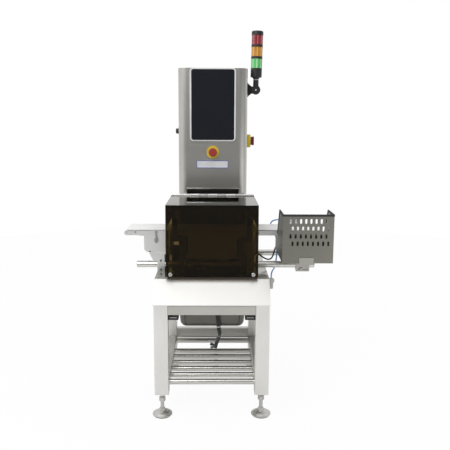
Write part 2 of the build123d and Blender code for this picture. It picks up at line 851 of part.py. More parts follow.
with BuildPart() as cabinet_shell:
    with BuildSketch(level(cabinet_floor)):
        add(foot_plan)
    extrude(amount=cabinet_top - cabinet_floor)
    with BuildSketch(level(column_bottom)):
        add(head_plan)
    extrude(amount=cabinet_top - column_bottom)
    with BuildSketch(level(cabinet_floor + sheet)):
        add(foot_room)
    extrude(amount=cabinet_top - cabinet_floor - 2 * sheet, mode=Mode.SUBTRACT)
    with BuildSketch(level(column_bottom + sheet)):
        add(head_room)
    extrude(amount=cabinet_top - column_bottom - 2 * sheet, mode=Mode.SUBTRACT)
    with BuildSketch(level(column_bottom, y=(cabinet_front_y + cabinet_foot_y + sheet) / 2)):
        Rectangle(2 * (recess_half_width + sheet), cabinet_foot_y + sheet - cabinet_front_y)
    extrude(amount=cabinet_step_z + sheet - column_bottom)
    with BuildSketch(level(column_bottom, y=(cabinet_front_y + cabinet_foot_y) / 2)):
        Rectangle(2 * recess_half_width, cabinet_foot_y - cabinet_front_y)
    extrude(amount=cabinet_step_z - column_bottom, mode=Mode.SUBTRACT)
    with BuildSketch(facing_front(cabinet_back_y)):
        with Locations((0, (door_bottom + door_top) / 2)):
            Rectangle(2 * door_half_width - 2 * door_overlap, door_top - door_bottom - 2 * door_overlap)
    extrude(amount=sheet, mode=Mode.SUBTRACT)
    with BuildSketch(facing_front(cabinet_front_y + sheet)):
        with Locations((0, (display_bottom + display_top) / 2)):
            Rectangle(2 * display_half_width - 10, display_top - display_bottom - 10)
        with Locations((0, estop_z)):
            Circle(11)
    extrude(amount=sheet, mode=Mode.SUBTRACT)
    with BuildSketch(facing_right(-cabinet_half_width, y=cable_inlet_y, z=cable_inlet_z)):
        Circle(cable_inlet_radius)
    extrude(amount=sheet, mode=Mode.SUBTRACT)
publish(cabinet_shell, "cabinet_shell")

door_y = cabinet_back_y + seat_gap
door_hinge_x = -door_half_width - 7
door_hinge_y = door_y + 3
door_hinge_zs = (door_bottom + 120, door_top - 120)

with BuildPart() as cabinet_door:
    with BuildSketch(facing_front(door_y)):
        with Locations((0, (door_bottom + door_top) / 2)):
            RectangleRounded(2 * door_half_width, door_top - door_bottom, 6)
        with Locations((door_half_width - 22, (door_bottom + door_top) / 2)):
            Circle(9 + running_gap, mode=Mode.SUBTRACT)
    extrude(amount=-door_sheet)
    for hinge_z in door_hinge_zs:
        with BuildSketch(level(hinge_z, x=door_hinge_x, y=door_hinge_y)):
            Circle(3)
            with Locations((4, 1.5 - 3 + door_sheet / 2)):
                Rectangle(8, door_sheet)
            Circle(1.5 + running_gap, mode=Mode.SUBTRACT)
        extrude(amount=24)
publish(cabinet_door, "cabinet_door")

# Fixed leaves with their pins: the hood's, which is a wall that stands on the table, and the door's
wall_y = hood_back_y + rear_wall_gap + plate
wall_top = hood_top_z - rear_wall_gap
notch_bottom = support_bottom - wall_notch_gap
notch_height = support_plate + 2 * wall_notch_gap
notch_left = infeed_right + wall_notch_gap
notch_right = outfeed_foot_left - wall_notch_gap

with BuildPart() as fixed_hinges:
    with BuildSketch(facing_front(wall_y, z=table_z)):
        with Locations((0, (wall_top - table_z) / 2)):
            Rectangle(2 * hood_half_width, wall_top - table_z)
        with Locations(
            ((notch_left - hood_half_width) / 2, notch_bottom + notch_height / 2 - table_z),
            ((notch_right + hood_half_width) / 2, notch_bottom + notch_height / 2 - table_z),
        ):
            Rectangle(hood_half_width - notch_right, notch_height, mode=Mode.SUBTRACT)
    extrude(amount=plate)
    with BuildSketch(facing_right(-hood_half_width)):
        with Locations((hood_axis_y, hood_axis_z)):
            Circle(hinge_pin)
    extrude(amount=2 * hood_half_width)
    for start in fixed_starts:
        with BuildSketch(facing_right(start + seat_gap)):
            with Locations((hood_axis_y, hood_axis_z)):
                Circle(hinge_barrel)
            with Locations((wall_y - plate / 2, (wall_top + hood_axis_z) / 2)):
                Rectangle(plate, hood_axis_z - wall_top)
        extrude(amount=knuckle_pitch - 2 * seat_gap)
    for hinge_z in door_hinge_zs:
        with BuildSketch(level(hinge_z - 26, x=door_hinge_x, y=door_hinge_y)):
            Circle(1.5)
        extrude(amount=50)
        with BuildSketch(level(hinge_z - 26, x=door_hinge_x, y=door_hinge_y)):
            Circle(3)
            with Locations((0, -2)):
                Rectangle(6, 2.6)
        extrude(amount=25.5)
publish(fixed_hinges, "fixed_hinges")

with BuildPart() as door_lock:
    lock_plane = facing_front(door_y + door_sheet, x=door_half_width - 22, z=(door_bottom + door_top) / 2)
    with BuildSketch(lock_plane):
        Circle(9)
    extrude(amount=door_sheet + 8)
    with BuildSketch(lock_plane.offset(door_sheet + 8)):
        with Locations((0, 6)):
            Rectangle(12, 32)
    extrude(amount=3)
    with BuildSketch(lock_plane.offset(-seat_gap)):
        Circle(13)
    extrude(amount=-(lock_reach - 6 - seat_gap))
    with BuildSketch(lock_plane.offset(-(lock_reach - 6))):
        RectangleRounded(8, 24, 3)
    extrude(amount=-6)
    with BuildSketch(lock_plane.offset(-seat_gap)):
        Circle(9)
    extrude(amount=seat_gap)
publish(door_lock, "door_lock")

# Inside the cabinet: a standing plate with the drives, the supply and a row of terminals
inner_plate_y = cabinet_foot_y + 16
inner_plate_half = cabinet_half_width - 26
drives_z = 760
supply_z = 1010
terminals_z = 1180

with BuildPart() as mounting_plate:
    with BuildSketch(facing_right(-inner_plate_half)):
        with BuildLine():
            Polyline(
                (inner_plate_y, cabinet_floor + sheet),
                (inner_plate_y + 30, cabinet_floor + sheet),
                (inner_plate_y + 30, cabinet_floor + 2 * sheet),
                (inner_plate_y + sheet, cabinet_floor + 2 * sheet),
                (inner_plate_y + sheet, door_top - 30),
                (inner_plate_y, door_top - 30),
                close=True,
            )
        make_face()
    extrude(amount=2 * inner_plate_half)
publish(mounting_plate, "mounting_plate")

with BuildPart() as control_modules:
    for drive_x in (-90, -30, 30):
        with BuildSketch(facing_front(inner_plate_y + sheet, x=drive_x, z=drives_z)):
            RectangleRounded(50, 140, 3)
        extrude(amount=-85)
    with BuildSketch(facing_front(inner_plate_y + sheet, x=-70, z=supply_z)):
        RectangleRounded(110, 130, 3)
    extrude(amount=-60)
    with BuildSketch(facing_front(inner_plate_y + sheet, x=70, z=supply_z)):
        RectangleRounded(90, 150, 3)
    extrude(amount=-70)
    with BuildSketch(facing_front(inner_plate_y + sheet, z=terminals_z)):
        with GridLocations(8, 50, 24, 1):
            Rectangle(7.4, 50)
    extrude(amount=-40)
    with BuildSketch(facing_front(inner_plate_y + sheet, z=terminals_z)):
        Rectangle(210, 35)
    extrude(amount=-8)
publish(control_modules, "control_modules")

# Display: a glass in a raised bezel, its box behind the panel
display_mid = (display_bottom + display_top) / 2
display_height = display_top - display_bottom

with BuildPart() as display_bezel:
    with BuildSketch(facing_front(cabinet_front_y)):
        with Locations((0, display_mid)):
            RectangleRounded(
                2 * (display_half_width + bezel_margin), display_height + 2 * bezel_margin - 2, display_corner + bezel_margin
            )
            RectangleRounded(2 * display_half_width, display_height, display_corner, mode=Mode.SUBTRACT)
    extrude(amount=bezel_depth)
    fillet(display_bezel.faces().sort_by(Axis.Y)[0].outer_wire().edges(), radius=2.5)
    with BuildSketch(facing_front(cabinet_front_y)):
        with Locations((0, display_mid)):
            RectangleRounded(2 * display_half_width, display_height, display_corner)
    extrude(amount=bezel_depth / 2 - 1)
    with BuildSketch(facing_front(cabinet_front_y)):
        with Locations((0, display_mid)):
            Rectangle(2 * display_half_width - 14, display_height - 14)
    extrude(amount=-display_box_depth)
publish(display_bezel, "display_bezel")

with BuildPart() as display_glass:
    with BuildSketch(facing_front(cabinet_front_y - bezel_depth / 2 + 1)):
        with Locations((0, display_mid)):
            RectangleRounded(
                2 * (display_half_width - running_gap), display_height - 2 * running_gap, display_corner - running_gap
            )
    extrude(amount=bezel_depth / 2)
publish(display_glass, "display_glass")

# Emergency stop: a flat ring and collar, and the mushroom button that slides through it
stem_radius = 9
collar_radius = 14
collar_height = 12
cap_start = collar_height + estop_travel + 1
cap_depth = 14

with BuildPart() as estop_ring:
    with BuildSketch(facing_front(cabinet_front_y, z=estop_z)):
        Circle(estop_ring_radius)
        Circle(stem_radius + running_gap, mode=Mode.SUBTRACT)
    extrude(amount=plate)
    with BuildSketch(facing_front(cabinet_front_y - plate, z=estop_z)):
        Circle(collar_radius)
        Circle(stem_radius + running_gap, mode=Mode.SUBTRACT)
    extrude(amount=collar_height - plate)
publish(estop_ring, "estop_ring")

with BuildPart() as estop_button:
    with BuildSketch(facing_front(cabinet_front_y + sheet, z=estop_z)):
        Circle(stem_radius)
    extrude(amount=cap_start + sheet)
    with BuildSketch(facing_front(cabinet_front_y - cap_start, z=estop_z)):
        Circle(estop_button_radius)
    extrude(amount=cap_depth)
    fillet(estop_button.faces().sort_by(Axis.Y)[0].edges(), radius=5)
publish(estop_button, "estop_button")

# Main isolator on the right flank: a raised plate and the bar handle that turns on it
flank_x = cabinet_half_width
handle_start = isolator_depth + seat_gap

with BuildPart() as isolator_base:
    with BuildSketch(facing_right(flank_x, y=isolator_y, z=isolator_z)):
        RectangleRounded(isolator_plate_size, isolator_plate_size, 6)
        Circle(4 + running_gap, mode=Mode.SUBTRACT)
    extrude(amount=isolator_depth)
    chamfer(isolator_base.faces().sort_by(Axis.X)[-1].outer_wire().edges(), length=2)
publish(isolator_base, "isolator_base")

with BuildPart() as isolator_handle:
    with BuildSketch(facing_right(flank_x + 4, y=isolator_y, z=isolator_z)):
        Circle(4)
    extrude(amount=handle_start - 4)
    with BuildSketch(facing_right(flank_x + handle_start, y=isolator_y, z=isolator_z)):
        Circle(20)
    extrude(amount=6)
    with BuildSketch(facing_right(flank_x + handle_start + 6, y=isolator_y, z=isolator_z)):
        RectangleRounded(14, 42, 5)
    extrude(amount=12)
    fillet(isolator_handle.faces().sort_by(Axis.X)[-1].edges(), radius=2)
publish(isolator_handle, "isolator_handle")

# Service socket on the left flank, and the gland that the motor cable leaves by
with BuildPart() as service_socket:
    with BuildSketch(facing_right(-flank_x, y=isolator_y, z=socket_z)):
        RectangleRounded(34, 34, 5)
    extrude(amount=-4)
    with BuildSketch(facing_right(-flank_x - 4, y=isolator_y, z=socket_z)):
        Circle(12.5)
    extrude(amount=-13)
    fillet(service_socket.faces().sort_by(Axis.X)[0].edges(), radius=2)
    with BuildSketch(facing_right(flank_x, y=cable_exit_y, z=cable_exit_z)):
        RegularPolygon(gland_radius, 6, major_radius=False)
        Circle(cable_radius + running_gap, mode=Mode.SUBTRACT)
    extrude(amount=gland_length)
publish(service_socket, "service_socket")

# Signal tower: a flank bracket with a knuckle, and the post, base, lenses and cap above it
tower_y = isolator_y
web_root = 31
web_neck = 17
web_neck_x = tower_x - 20
lean = radians(tower_lean)


def up_the_tower(rise):
    """A sketch plane square to the leaning tower, above its pivot."""
    return Plane(
        origin=(mid_x + tower_x + rise * sin(lean), mid_y + tower_y, pivot_z + rise * cos(lean)),
        x_dir=(cos(lean), 0, -sin(lean)),
        z_dir=(sin(lean), 0, cos(lean)),
    )


with BuildPart() as tower_bracket:
    with BuildSketch(facing_right(flank_x, y=tower_y, z=pivot_z)):
        RectangleRounded(44, 66, 6)
    extrude(amount=5)
    with BuildSketch(facing_front(tower_y + knuckle_thickness, z=pivot_z)):
        with BuildLine():
            Polyline(
                (flank_x + 5, web_root),
                (web_neck_x, web_neck),
                (tower_x, web_neck),
                (tower_x, -web_neck),
                (web_neck_x, -web_neck),
                (flank_x + 5, -web_root),
                close=True,
            )
        make_face()
        with Locations((tower_x, 0)):
            Circle(knuckle_radius - 3)
    extrude(amount=knuckle_thickness - seat_gap)
    with BuildSketch(facing_front(tower_y + seat_gap, x=tower_x, z=pivot_z)):
        Circle(4)
    extrude(amount=knuckle_thickness + seat_gap)
publish(tower_bracket, "tower_bracket")

tiers = ["green", "amber", "red"]
tier_start = tower_base_rise + tower_base_height

with BuildPart() as tower_body:
    with BuildSketch(facing_front(tower_y, x=tower_x, z=pivot_z)):
        Circle(knuckle_radius)
        Circle(4 + running_gap, mode=Mode.SUBTRACT)
    extrude(amount=knuckle_thickness)
    with BuildSketch(up_the_tower(knuckle_radius - 2)):
        Circle(post_radius)
    extrude(amount=tower_base_rise - knuckle_radius - 10)
    with BuildSketch(up_the_tower(tower_base_rise - 12)):
        Circle(post_radius)
    extrude(amount=12, taper=-45)
    with BuildSketch(up_the_tower(tower_base_rise)):
        Circle(lens_radius)
    extrude(amount=tower_base_height)
    for index in range(len(tiers) - 1):
        with BuildSketch(up_the_tower(tier_start + lens_height * (index + 1) + ring_height * index)):
            Circle(lens_radius + 0.5)
        extrude(amount=ring_height)
    with BuildSketch(up_the_tower(tier_start + lens_height * len(tiers) + ring_height * (len(tiers) - 1))):
        Circle(lens_radius + 1)
    extrude(amount=cap_height)
    fillet(tower_body.edges().sort_by(Axis.Z)[-1], radius=6)
publish(tower_body, "tower_body")

for index, colour in enumerate(tiers):
    with BuildPart() as lens:
        with BuildSketch(up_the_tower(tier_start + (lens_height + ring_height) * index)):
            Circle(lens_radius)
        extrude(amount=lens_height)
    publish(lens, f"{colour}_lens")

# Reject bin: one folded sheet, open at the top and along its slanted back edge
bin_width = bin_right - bin_left
bin_mid = (bin_left + bin_right) / 2
bin_top_back = bin_front_y + bin_top_depth
bin_belt_back = bin_front_y + bin_belt_depth
bin_floor_back = bin_front_y + bin_floor_depth
rim = [(bin_front_y, bin_top), (bin_top_back, bin_top), (bin_belt_back, bin_step_z + 14)]

with BuildPart() as bin_shell:
    with BuildSketch(facing_right(bin_left)):
        with BuildLine():
            Polyline(
                (bin_front_y, bin_bottom),
                *rim,
                (bin_belt_back, bin_step_z),
                (bin_floor_back, bin_step_z),
                (bin_floor_back, bin_bottom),
                close=True,
            )
        make_face()
    extrude(amount=bin_width)
    with BuildSketch(facing_right(bin_left + sheet)):
        with BuildLine():
            Polyline(
                (bin_front_y + sheet, bin_bottom + sheet),
                (bin_front_y + sheet, bin_top + 1),
                (bin_top_back + 30, bin_top + 1),
                (bin_belt_back + 30, bin_step_z + 1),
                (bin_floor_back - sheet, bin_step_z + 1),
                (bin_floor_back - sheet, bin_bottom + sheet),
                close=True,
            )
        make_face()
    extrude(amount=bin_width - 2 * sheet, mode=Mode.SUBTRACT)
    with BuildSketch(facing_front(bin_front_y + 2 * sheet)):
        for row in range(slot_rows):
            stagger = slot_stagger if row % 2 else -slot_stagger
            row_z = slot_top_z - slot_height / 2 - row * slot_row_pitch
            with Locations((bin_mid + slot_shift + stagger, row_z)):
                with GridLocations(slot_pitch, 1, slot_columns, 1):
                    SlotOverall(slot_height, slot_width, rotation=90)
    extrude(amount=3 * sheet, mode=Mode.SUBTRACT)
publish(bin_shell, "bin_shell")

# Rubber edging on the front top edge and round both side edges, grooved over the sheet
groove = sheet / 2 + running_gap
edge_lap = trim_height - 3

with BuildPart() as bin_trim:
    with BuildSketch(facing_right(bin_left)):
        with Locations((bin_front_y + sheet / 2, bin_top + 3 - trim_height / 2)):
            RectangleRounded(trim_width, trim_height, 1.5)
    extrude(amount=bin_width)
    for edge_x in (bin_left + sheet / 2, bin_right - sheet / 2):
        with BuildSketch(facing_right(edge_x - trim_width / 2)):
            with BuildLine():
                Polyline(
                    (bin_front_y + sheet / 2, bin_top - edge_lap),
                    (bin_front_y + sheet / 2, bin_top + 3),
                    (bin_top_back + 3, bin_top + 3),
                    (bin_belt_back + 3, bin_step_z + 14),
                    (bin_belt_back - edge_lap, bin_step_z + 14),
                    (bin_top_back - edge_lap, bin_top - edge_lap),
                    close=True,
                )
            make_face()
        extrude(amount=trim_width)
    with BuildSketch(facing_right(bin_left - running_gap)):
        with Locations((bin_front_y + sheet / 2, bin_top - trim_height / 2)):
            Rectangle(2 * groove, trim_height)
    extrude(amount=bin_width + 2 * running_gap, mode=Mode.SUBTRACT)
    for edge_x in (bin_left + sheet / 2, bin_right - sheet / 2):
        with BuildSketch(facing_right(edge_x - groove)):
            with BuildLine():
                Polyline(
                    (bin_front_y - running_gap, bin_step_z),
                    (bin_front_y - running_gap, bin_top + running_gap),
                    (bin_top_back + running_gap, bin_top + running_gap),
                    (bin_belt_back + running_gap, bin_step_z + 14),
                    (bin_belt_back + running_gap, bin_step_z),
                    close=True,
                )
            make_face()
        extrude(amount=2 * groove, mode=Mode.SUBTRACT)
publish(bin_trim, "bin_trim")

# Strap: hooked over the bin's front foot, back under the floor and down to the rail clamp
strap_top = bin_bottom - seat_gap
strap_drop_y = front_rail_y - rail_radius - 6
clamp_outer = rail_radius + 9
clamp_drop = 28
clamp_slot = 44
clamp_face = strap_drop_y + plate + running_gap
bolt_x = clamp_x - clamp_bolt_shift
bolt_z = rail_z - 17

with BuildPart() as bin_bracket:
    with BuildSketch(facing_right(strap_x - strap_width / 2)):
        with BuildLine():
            Polyline(
                (bin_front_y - seat_gap, bin_bottom + strap_lip),
                (strap_front, bin_bottom + strap_lip),
                (strap_front, strap_top - plate),
                (strap_drop_y + plate, strap_top - plate),
                (strap_drop_y + plate, strap_top),
                (bin_front_y - seat_gap, strap_top),
                close=True,
            )
        make_face()
    extrude(amount=strap_width)
    with BuildSketch(facing_front(strap_drop_y + plate, x=clamp_x, z=rail_z)):
        with Locations((0, (strap_top - rail_z - clamp_drop) / 2)):
            Rectangle(strap_width, strap_top - rail_z + clamp_drop)
        with Locations((0, bolt_z - rail_z)):
            SlotOverall(clamp_slot, 9, mode=Mode.SUBTRACT)
    extrude(amount=plate)
    with BuildSketch(facing_right(clamp_x - strap_width / 2)):
        with Locations((front_rail_y, rail_z)):
            Circle(clamp_outer)
        with Locations(((clamp_face + front_rail_y) / 2, rail_z + 5)):
            Rectangle(front_rail_y - clamp_face, 2 * clamp_outer + 20)
        with Locations((clamp_face - clamp_outer, rail_z)):
            Rectangle(2 * clamp_outer, 4 * clamp_outer, mode=Mode.SUBTRACT)
        with Locations((front_rail_y, rail_z)):
            Circle(rail_radius + running_gap, mode=Mode.SUBTRACT)
        with Locations((front_rail_y + clamp_outer, rail_z)):
            Rectangle(2 * clamp_outer, 3, mode=Mode.SUBTRACT)
    extrude(amount=strap_width)
    with BuildSketch(facing_front(strap_drop_y - running_gap, x=bolt_x, z=bolt_z)):
        RegularPolygon(6.5, 6, major_radius=False)
    extrude(amount=5)
    with BuildSketch(facing_front(clamp_face, x=bolt_x, z=bolt_z)):
        Circle(3)
    extrude(amount=plate + 2 * running_gap)
publish(bin_bracket, "bin_bracket")

# Air reject: a nozzle on a bracket behind the outfeed belt, fed through a filter regulator
bracket_y = conveyor_half_width

with BuildPart() as air_nozzle:
    with BuildSketch(facing_front(bracket_y + plate, x=nozzle_x)):
        with Locations((0, (strip_bottom + nozzle_z + 14) / 2)):
            Rectangle(30, nozzle_z + 14 - strip_bottom)
    extrude(amount=plate)
    with BuildSketch(facing_front(bracket_y + 24, x=nozzle_x, z=nozzle_z)):
        RectangleRounded(2 * nozzle_half_length, nozzle_height, 3)
    extrude(amount=24 - plate)
    with BuildSketch(facing_front(bracket_y, x=nozzle_x, z=nozzle_z)):
        Circle(6)
    extrude(amount=12, taper=10)
    with BuildSketch(facing_right(nozzle_x - nozzle_half_length, y=bracket_y + 13, z=nozzle_z)):
        Circle(5)
    extrude(amount=-8)
publish(air_nozzle, "air_nozzle")

regulator_x = cover_half_width + regulator_standoff + regulator_radius

with BuildPart() as filter_regulator:
    with BuildSketch(level(regulator_top - 18, regulator_x, regulator_y)):
        Circle(regulator_radius)
    extrude(amount=18)
    with BuildSketch(level(regulator_top - 46, regulator_x, regulator_y)):
        Circle(regulator_radius - 1.5)
    extrude(amount=28)
    fillet(filter_regulator.edges().sort_by(Axis.Z)[0], radius=4)
    with BuildSketch(facing_right(cover_half_width, y=regulator_y, z=regulator_top - 10)):
        Rectangle(20, 14)
    extrude(amount=regulator_standoff + 3)
    with BuildSketch(level(regulator_top, regulator_x, regulator_y)):
        Circle(5)
    extrude(amount=5)
    with BuildSketch(facing_right(regulator_x, y=regulator_y, z=regulator_top - 9)):
        Circle(air_port_radius + 3)
    extrude(amount=regulator_radius + 3)
    with BuildSketch(facing_right(regulator_x + regulator_radius + 3, y=regulator_y, z=regulator_top - 9)):
        Circle(air_port_radius)
    extrude(amount=-air_port_depth, mode=Mode.SUBTRACT)
publish(filter_regulator, "filter_regulator")

# Cords, with their points chosen from where they are seen to run
cord("air_hose", [
    (regulator_x, regulator_y, regulator_top + 5),
    (regulator_x, regulator_y, regulator_top + 17),
    (268, -98, 597),
    (275, -78, 603),
    (282, -56, 604),
    (290, -38, 620),
    (295, -26, 645),
    (298, -12, 664),
    (303, 18, 683),
    (305, 54, 710),
    (299, 87, 736),
    (286, 110, 757),
    (277, 119, 779),
    (285, 116, 796),
    (304, 107, 804),
    (nozzle_x - nozzle_half_length - 34, bracket_y + 13, nozzle_z),
    (nozzle_x - nozzle_half_length - 8, bracket_y + 13, nozzle_z),
], hose_radius)

cord("motor_cable", [
    (flank_x, cable_exit_y, cable_exit_z),
    (flank_x + 18, cable_exit_y, cable_exit_z),
    (201, 218, 661),
    (212, 194, 662),
    (214, 164, 662),
    (209, 134, 662),
    (206, 104, 660),
    (208, 75, 655),
    (222, 49, 645),
    (243, 38, 632),
    (264, 39, 623),
    (281, 42, 630),
    (290, 46, 653),
    (296, 53, 677),
    (311, 66, 695),
    (333, 81, 708),
    (356, 91, 719),
    (375, 95, 724),
    (outfeed_motor_x - motor_radius - 18, bracket_y + 10, outfeed_motor_z),
    (outfeed_motor_x - motor_radius, bracket_y + 10, outfeed_motor_z),
], cable_radius)

cord("cable_bundle", [
    (22, -172, beam_top),
    (22, -172, 476),
    (23, -175, 446),
    (25, -179, 416),
    (28, -180, 387),
    (31, -173, 358),
    (34, -152, 332),
    (33, -120, 311),
    (31, -86, 291),
    (29, -52, 270),
    (26, -18, 246),
    (21, 16, 220),
    (17, 52, 196),
    (16, bar_ys[5], shelf_z + bar_radius + bundle_radius + seat_gap),
], bundle_radius)
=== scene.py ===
import bpy
import bmesh
from math import atan2, cos, pi, radians, sin
from mathutils import Matrix, Vector


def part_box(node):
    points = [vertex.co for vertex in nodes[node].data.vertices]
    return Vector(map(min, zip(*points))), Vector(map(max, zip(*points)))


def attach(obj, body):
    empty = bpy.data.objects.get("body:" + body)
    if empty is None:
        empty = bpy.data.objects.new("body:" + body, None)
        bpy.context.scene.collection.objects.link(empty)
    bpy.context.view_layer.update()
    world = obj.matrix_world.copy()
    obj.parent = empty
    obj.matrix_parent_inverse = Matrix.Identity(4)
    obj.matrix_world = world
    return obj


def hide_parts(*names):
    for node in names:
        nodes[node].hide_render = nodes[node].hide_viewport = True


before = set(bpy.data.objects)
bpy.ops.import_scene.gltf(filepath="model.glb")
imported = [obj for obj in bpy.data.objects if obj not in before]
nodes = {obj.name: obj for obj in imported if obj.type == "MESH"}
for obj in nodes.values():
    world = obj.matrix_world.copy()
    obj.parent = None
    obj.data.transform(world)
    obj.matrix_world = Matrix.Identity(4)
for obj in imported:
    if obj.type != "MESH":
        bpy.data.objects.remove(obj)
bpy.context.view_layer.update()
print("frame loaded:", len(nodes), "nodes")

# Places are in millimetres from the stand's centre on the floor: x right, y back, z up
mm = 0.001
legsLow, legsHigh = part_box("legs")
standX = (legsLow.x + legsHigh.x) / 2
standY = (legsLow.y + legsHigh.y) / 2


def place(x, y, z):
    return Vector((standX + x * mm, standY + y * mm, z * mm))


view = {"lens": 47.02, "at": (20.6, -2667.9, 1256.5), "pitch": 9.8, "yaw": 0.8, "roll": 0.3}


def makeCamera():
    pitch, yaw, roll = (radians(view[key]) for key in ("pitch", "yaw", "roll"))
    forward = Vector((sin(yaw) * cos(pitch), cos(yaw) * cos(pitch), -sin(pitch)))
    levelRight = Vector((cos(yaw), -sin(yaw), 0))
    levelDown = Vector((-sin(yaw) * sin(pitch), -cos(yaw) * sin(pitch), -cos(pitch)))
    right = cos(roll) * levelRight - sin(roll) * levelDown
    down = sin(roll) * levelRight + cos(roll) * levelDown
    lens = bpy.data.cameras.new("camera")
    lens.lens = view["lens"]
    lens.sensor_width = 36
    lens.clip_start = 0.05
    lens.clip_end = 60
    camera = bpy.data.objects.new("camera", lens)
    bpy.context.scene.collection.objects.link(camera)
    turn = Matrix((right, -down, -forward)).transposed().to_4x4()
    camera.matrix_world = Matrix.Translation(place(*view["at"])) @ turn
    bpy.context.scene.camera = camera


makeCamera()


def newMaterial(name):
    material = bpy.data.materials.new(name)
    material.use_nodes = True
    return material, material.node_tree, material.node_tree.nodes["Principled BSDF"]


def coordinates(tree, stretch):
    where = tree.nodes.new("ShaderNodeTexCoord")
    mapping = tree.nodes.new("ShaderNodeMapping")
    mapping.inputs["Scale"].default_value = stretch
    tree.links.new(where.outputs["Object"], mapping.inputs["Vector"])
    return mapping.outputs["Vector"]


def noise(tree, stretch, scale=1.0, detail=3.0, rough=0.55):
    texture = tree.nodes.new("ShaderNodeTexNoise")
    texture.inputs["Scale"].default_value = scale
    texture.inputs["Detail"].default_value = detail
    texture.inputs["Roughness"].default_value = rough
    tree.links.new(coordinates(tree, stretch), texture.inputs["Vector"])
    return texture.outputs["Fac"]


def remap(tree, value, low, high, fromLow=0.3, fromHigh=0.7):
    node = tree.nodes.new("ShaderNodeMapRange")
    node.inputs["From Min"].default_value = fromLow
    node.inputs["From Max"].default_value = fromHigh
    node.inputs["To Min"].default_value = low
    node.inputs["To Max"].default_value = high
    tree.links.new(value, node.inputs["Value"])
    return node.outputs["Result"]


def combine(tree, operation, first, second):
    node = tree.nodes.new("ShaderNodeMath")
    node.operation = operation
    tree.links.new(first, node.inputs[0])
    tree.links.new(second, node.inputs[1])
    return node.outputs[0]


def mixColours(tree, factor, first, second):
    node = tree.nodes.new("ShaderNodeMix")
    node.data_type = "RGBA"
    for value, socket in ((first, node.inputs[6]), (second, node.inputs[7])):
        if isinstance(value, tuple):
            socket.default_value = (*value, 1)
        else:
            tree.links.new(value, socket)
    tree.links.new(factor, node.inputs[0])
    return node.outputs[2]


def bump(tree, shader, height, strength, depth=0.0002):
    node = tree.nodes.new("ShaderNodeBump")
    node.inputs["Strength"].default_value = strength
    node.inputs["Distance"].default_value = depth
    tree.links.new(height, node.inputs["Height"])
    tree.links.new(node.outputs["Normal"], shader.inputs["Normal"])


grain = {"along": 6.0, "across": 500.0, "detail": 2.0, "streaks": 0.35, "relief": 0.12}
patches = {"stretch": (3.0, 3.0, 3.0), "detail": 4.0}
unstretched = (1.0, 1.0, 1.0)


def brushedLines(tree, along):
    # fine lines that run along one axis
    stretch = tuple(grain["along"] if axis == along else grain["across"] for axis in "xyz")
    return noise(tree, stretch, detail=grain["detail"])


def brushedTone(tree, lines, light, dark):
    # broad soft patches under the lines
    broad = noise(tree, patches["stretch"], detail=patches["detail"])
    tone = mixColours(tree, remap(tree, broad, 0, 1), light, dark)
    return mixColours(tree, remap(tree, lines, 0, grain["streaks"]), tone, dark)


def spreadAround(tree, value, middle, spread):
    return remap(tree, value, middle - spread / 2, middle + spread / 2)


def placeOutputs(tree):
    split = tree.nodes.new("ShaderNodeSeparateXYZ")
    tree.links.new(coordinates(tree, unstretched), split.inputs["Vector"])
    return split.outputs


def asMetal(tree, shader, colour, roughness, lines=None):
    tree.links.new(colour, shader.inputs["Base Color"])
    tree.links.new(roughness, shader.inputs["Roughness"])
    shader.inputs["Metallic"].default_value = 1.0
    if lines:
        bump(tree, shader, lines, grain["relief"])


def brushedSteel(name, light, dark, rough, along, spread=0.09):
    material, tree, shader = newMaterial(name)
    lines = brushedLines(tree, along)
    colour = brushedTone(tree, lines, light, dark)
    asMetal(tree, shader, colour, spreadAround(tree, lines, rough, spread), lines)
    return material


def coverSheet(name, slope, top, level, rough, topRough=0.16, spread=0.08):
    # the brushed slope, and over it the level top, which is smoother and painted darker as a reflection of
    # the dark hood
    material, tree, shader = newMaterial(name)
    lines = brushedLines(tree, "x")
    worn = tuple(channel * 0.93 for channel in slope)
    over = remap(tree, placeOutputs(tree)["Z"], 0, 1, (level - 1.2) * mm, (level - 0.4) * mm)
    # the level top takes the darker colour, a painted reflection of the hood
    colour = mixColours(tree, over, brushedTone(tree, lines, slope, worn), top)
    smoother = remap(tree, over, 0.0, rough - topRough, 0.0, 1.0)
    roughness = combine(tree, "SUBTRACT", spreadAround(tree, lines, rough, spread), smoother)
    asMetal(tree, shader, colour, roughness, lines)
    return material


def panelSteel(name, light, dark, shade, recess, rough, spread=0.09):
    # brushed panels, with a near-black painted shade on the walls of the recess below them
    material, tree, shader = newMaterial(name)
    lines = brushedLines(tree, "x")
    low = place(-recess["halfWidth"], recess["front"], 0)
    high = place(recess["halfWidth"], recess["back"], recess["top"])
    where = placeOutputs(tree)
    paintedRecessShade = remap(tree, where["Z"], 1, 0, high.z - mm, high.z)
    for axis, outside, start, end in (
        ("X", 0, low.x - mm, low.x), ("Y", 0, low.y, low.y + mm),
        ("X", 1, high.x, high.x + mm), ("Y", 1, high.y, high.y + mm),
    ):
        within = remap(tree, where[axis], outside, 1 - outside, start, end)
        paintedRecessShade = combine(tree, "MULTIPLY", paintedRecessShade, within)
    colour = mixColours(tree, paintedRecessShade, brushedTone(tree, lines, light, dark), shade)
    asMetal(tree, shader, colour, spreadAround(tree, lines, rough, spread), lines)
    return material


def hingeSteel(name, leaf, wall, seam, rough, spread=0.1):
    # a bright hinge over the dull sheet that it stands on, told apart by their height
    material, tree, shader = newMaterial(name)
    lines = brushedLines(tree, "x")
    worn = tuple(channel * 0.8 for channel in wall)
    over = remap(tree, placeOutputs(tree)["Z"], 0, 1, seam * mm, (seam + 1) * mm)
    sheet = mixColours(tree, remap(tree, lines, 0, 0.5), wall, worn)
    asMetal(tree, shader, mixColours(tree, over, sheet, leaf), spreadAround(tree, lines, rough, spread))
    return material


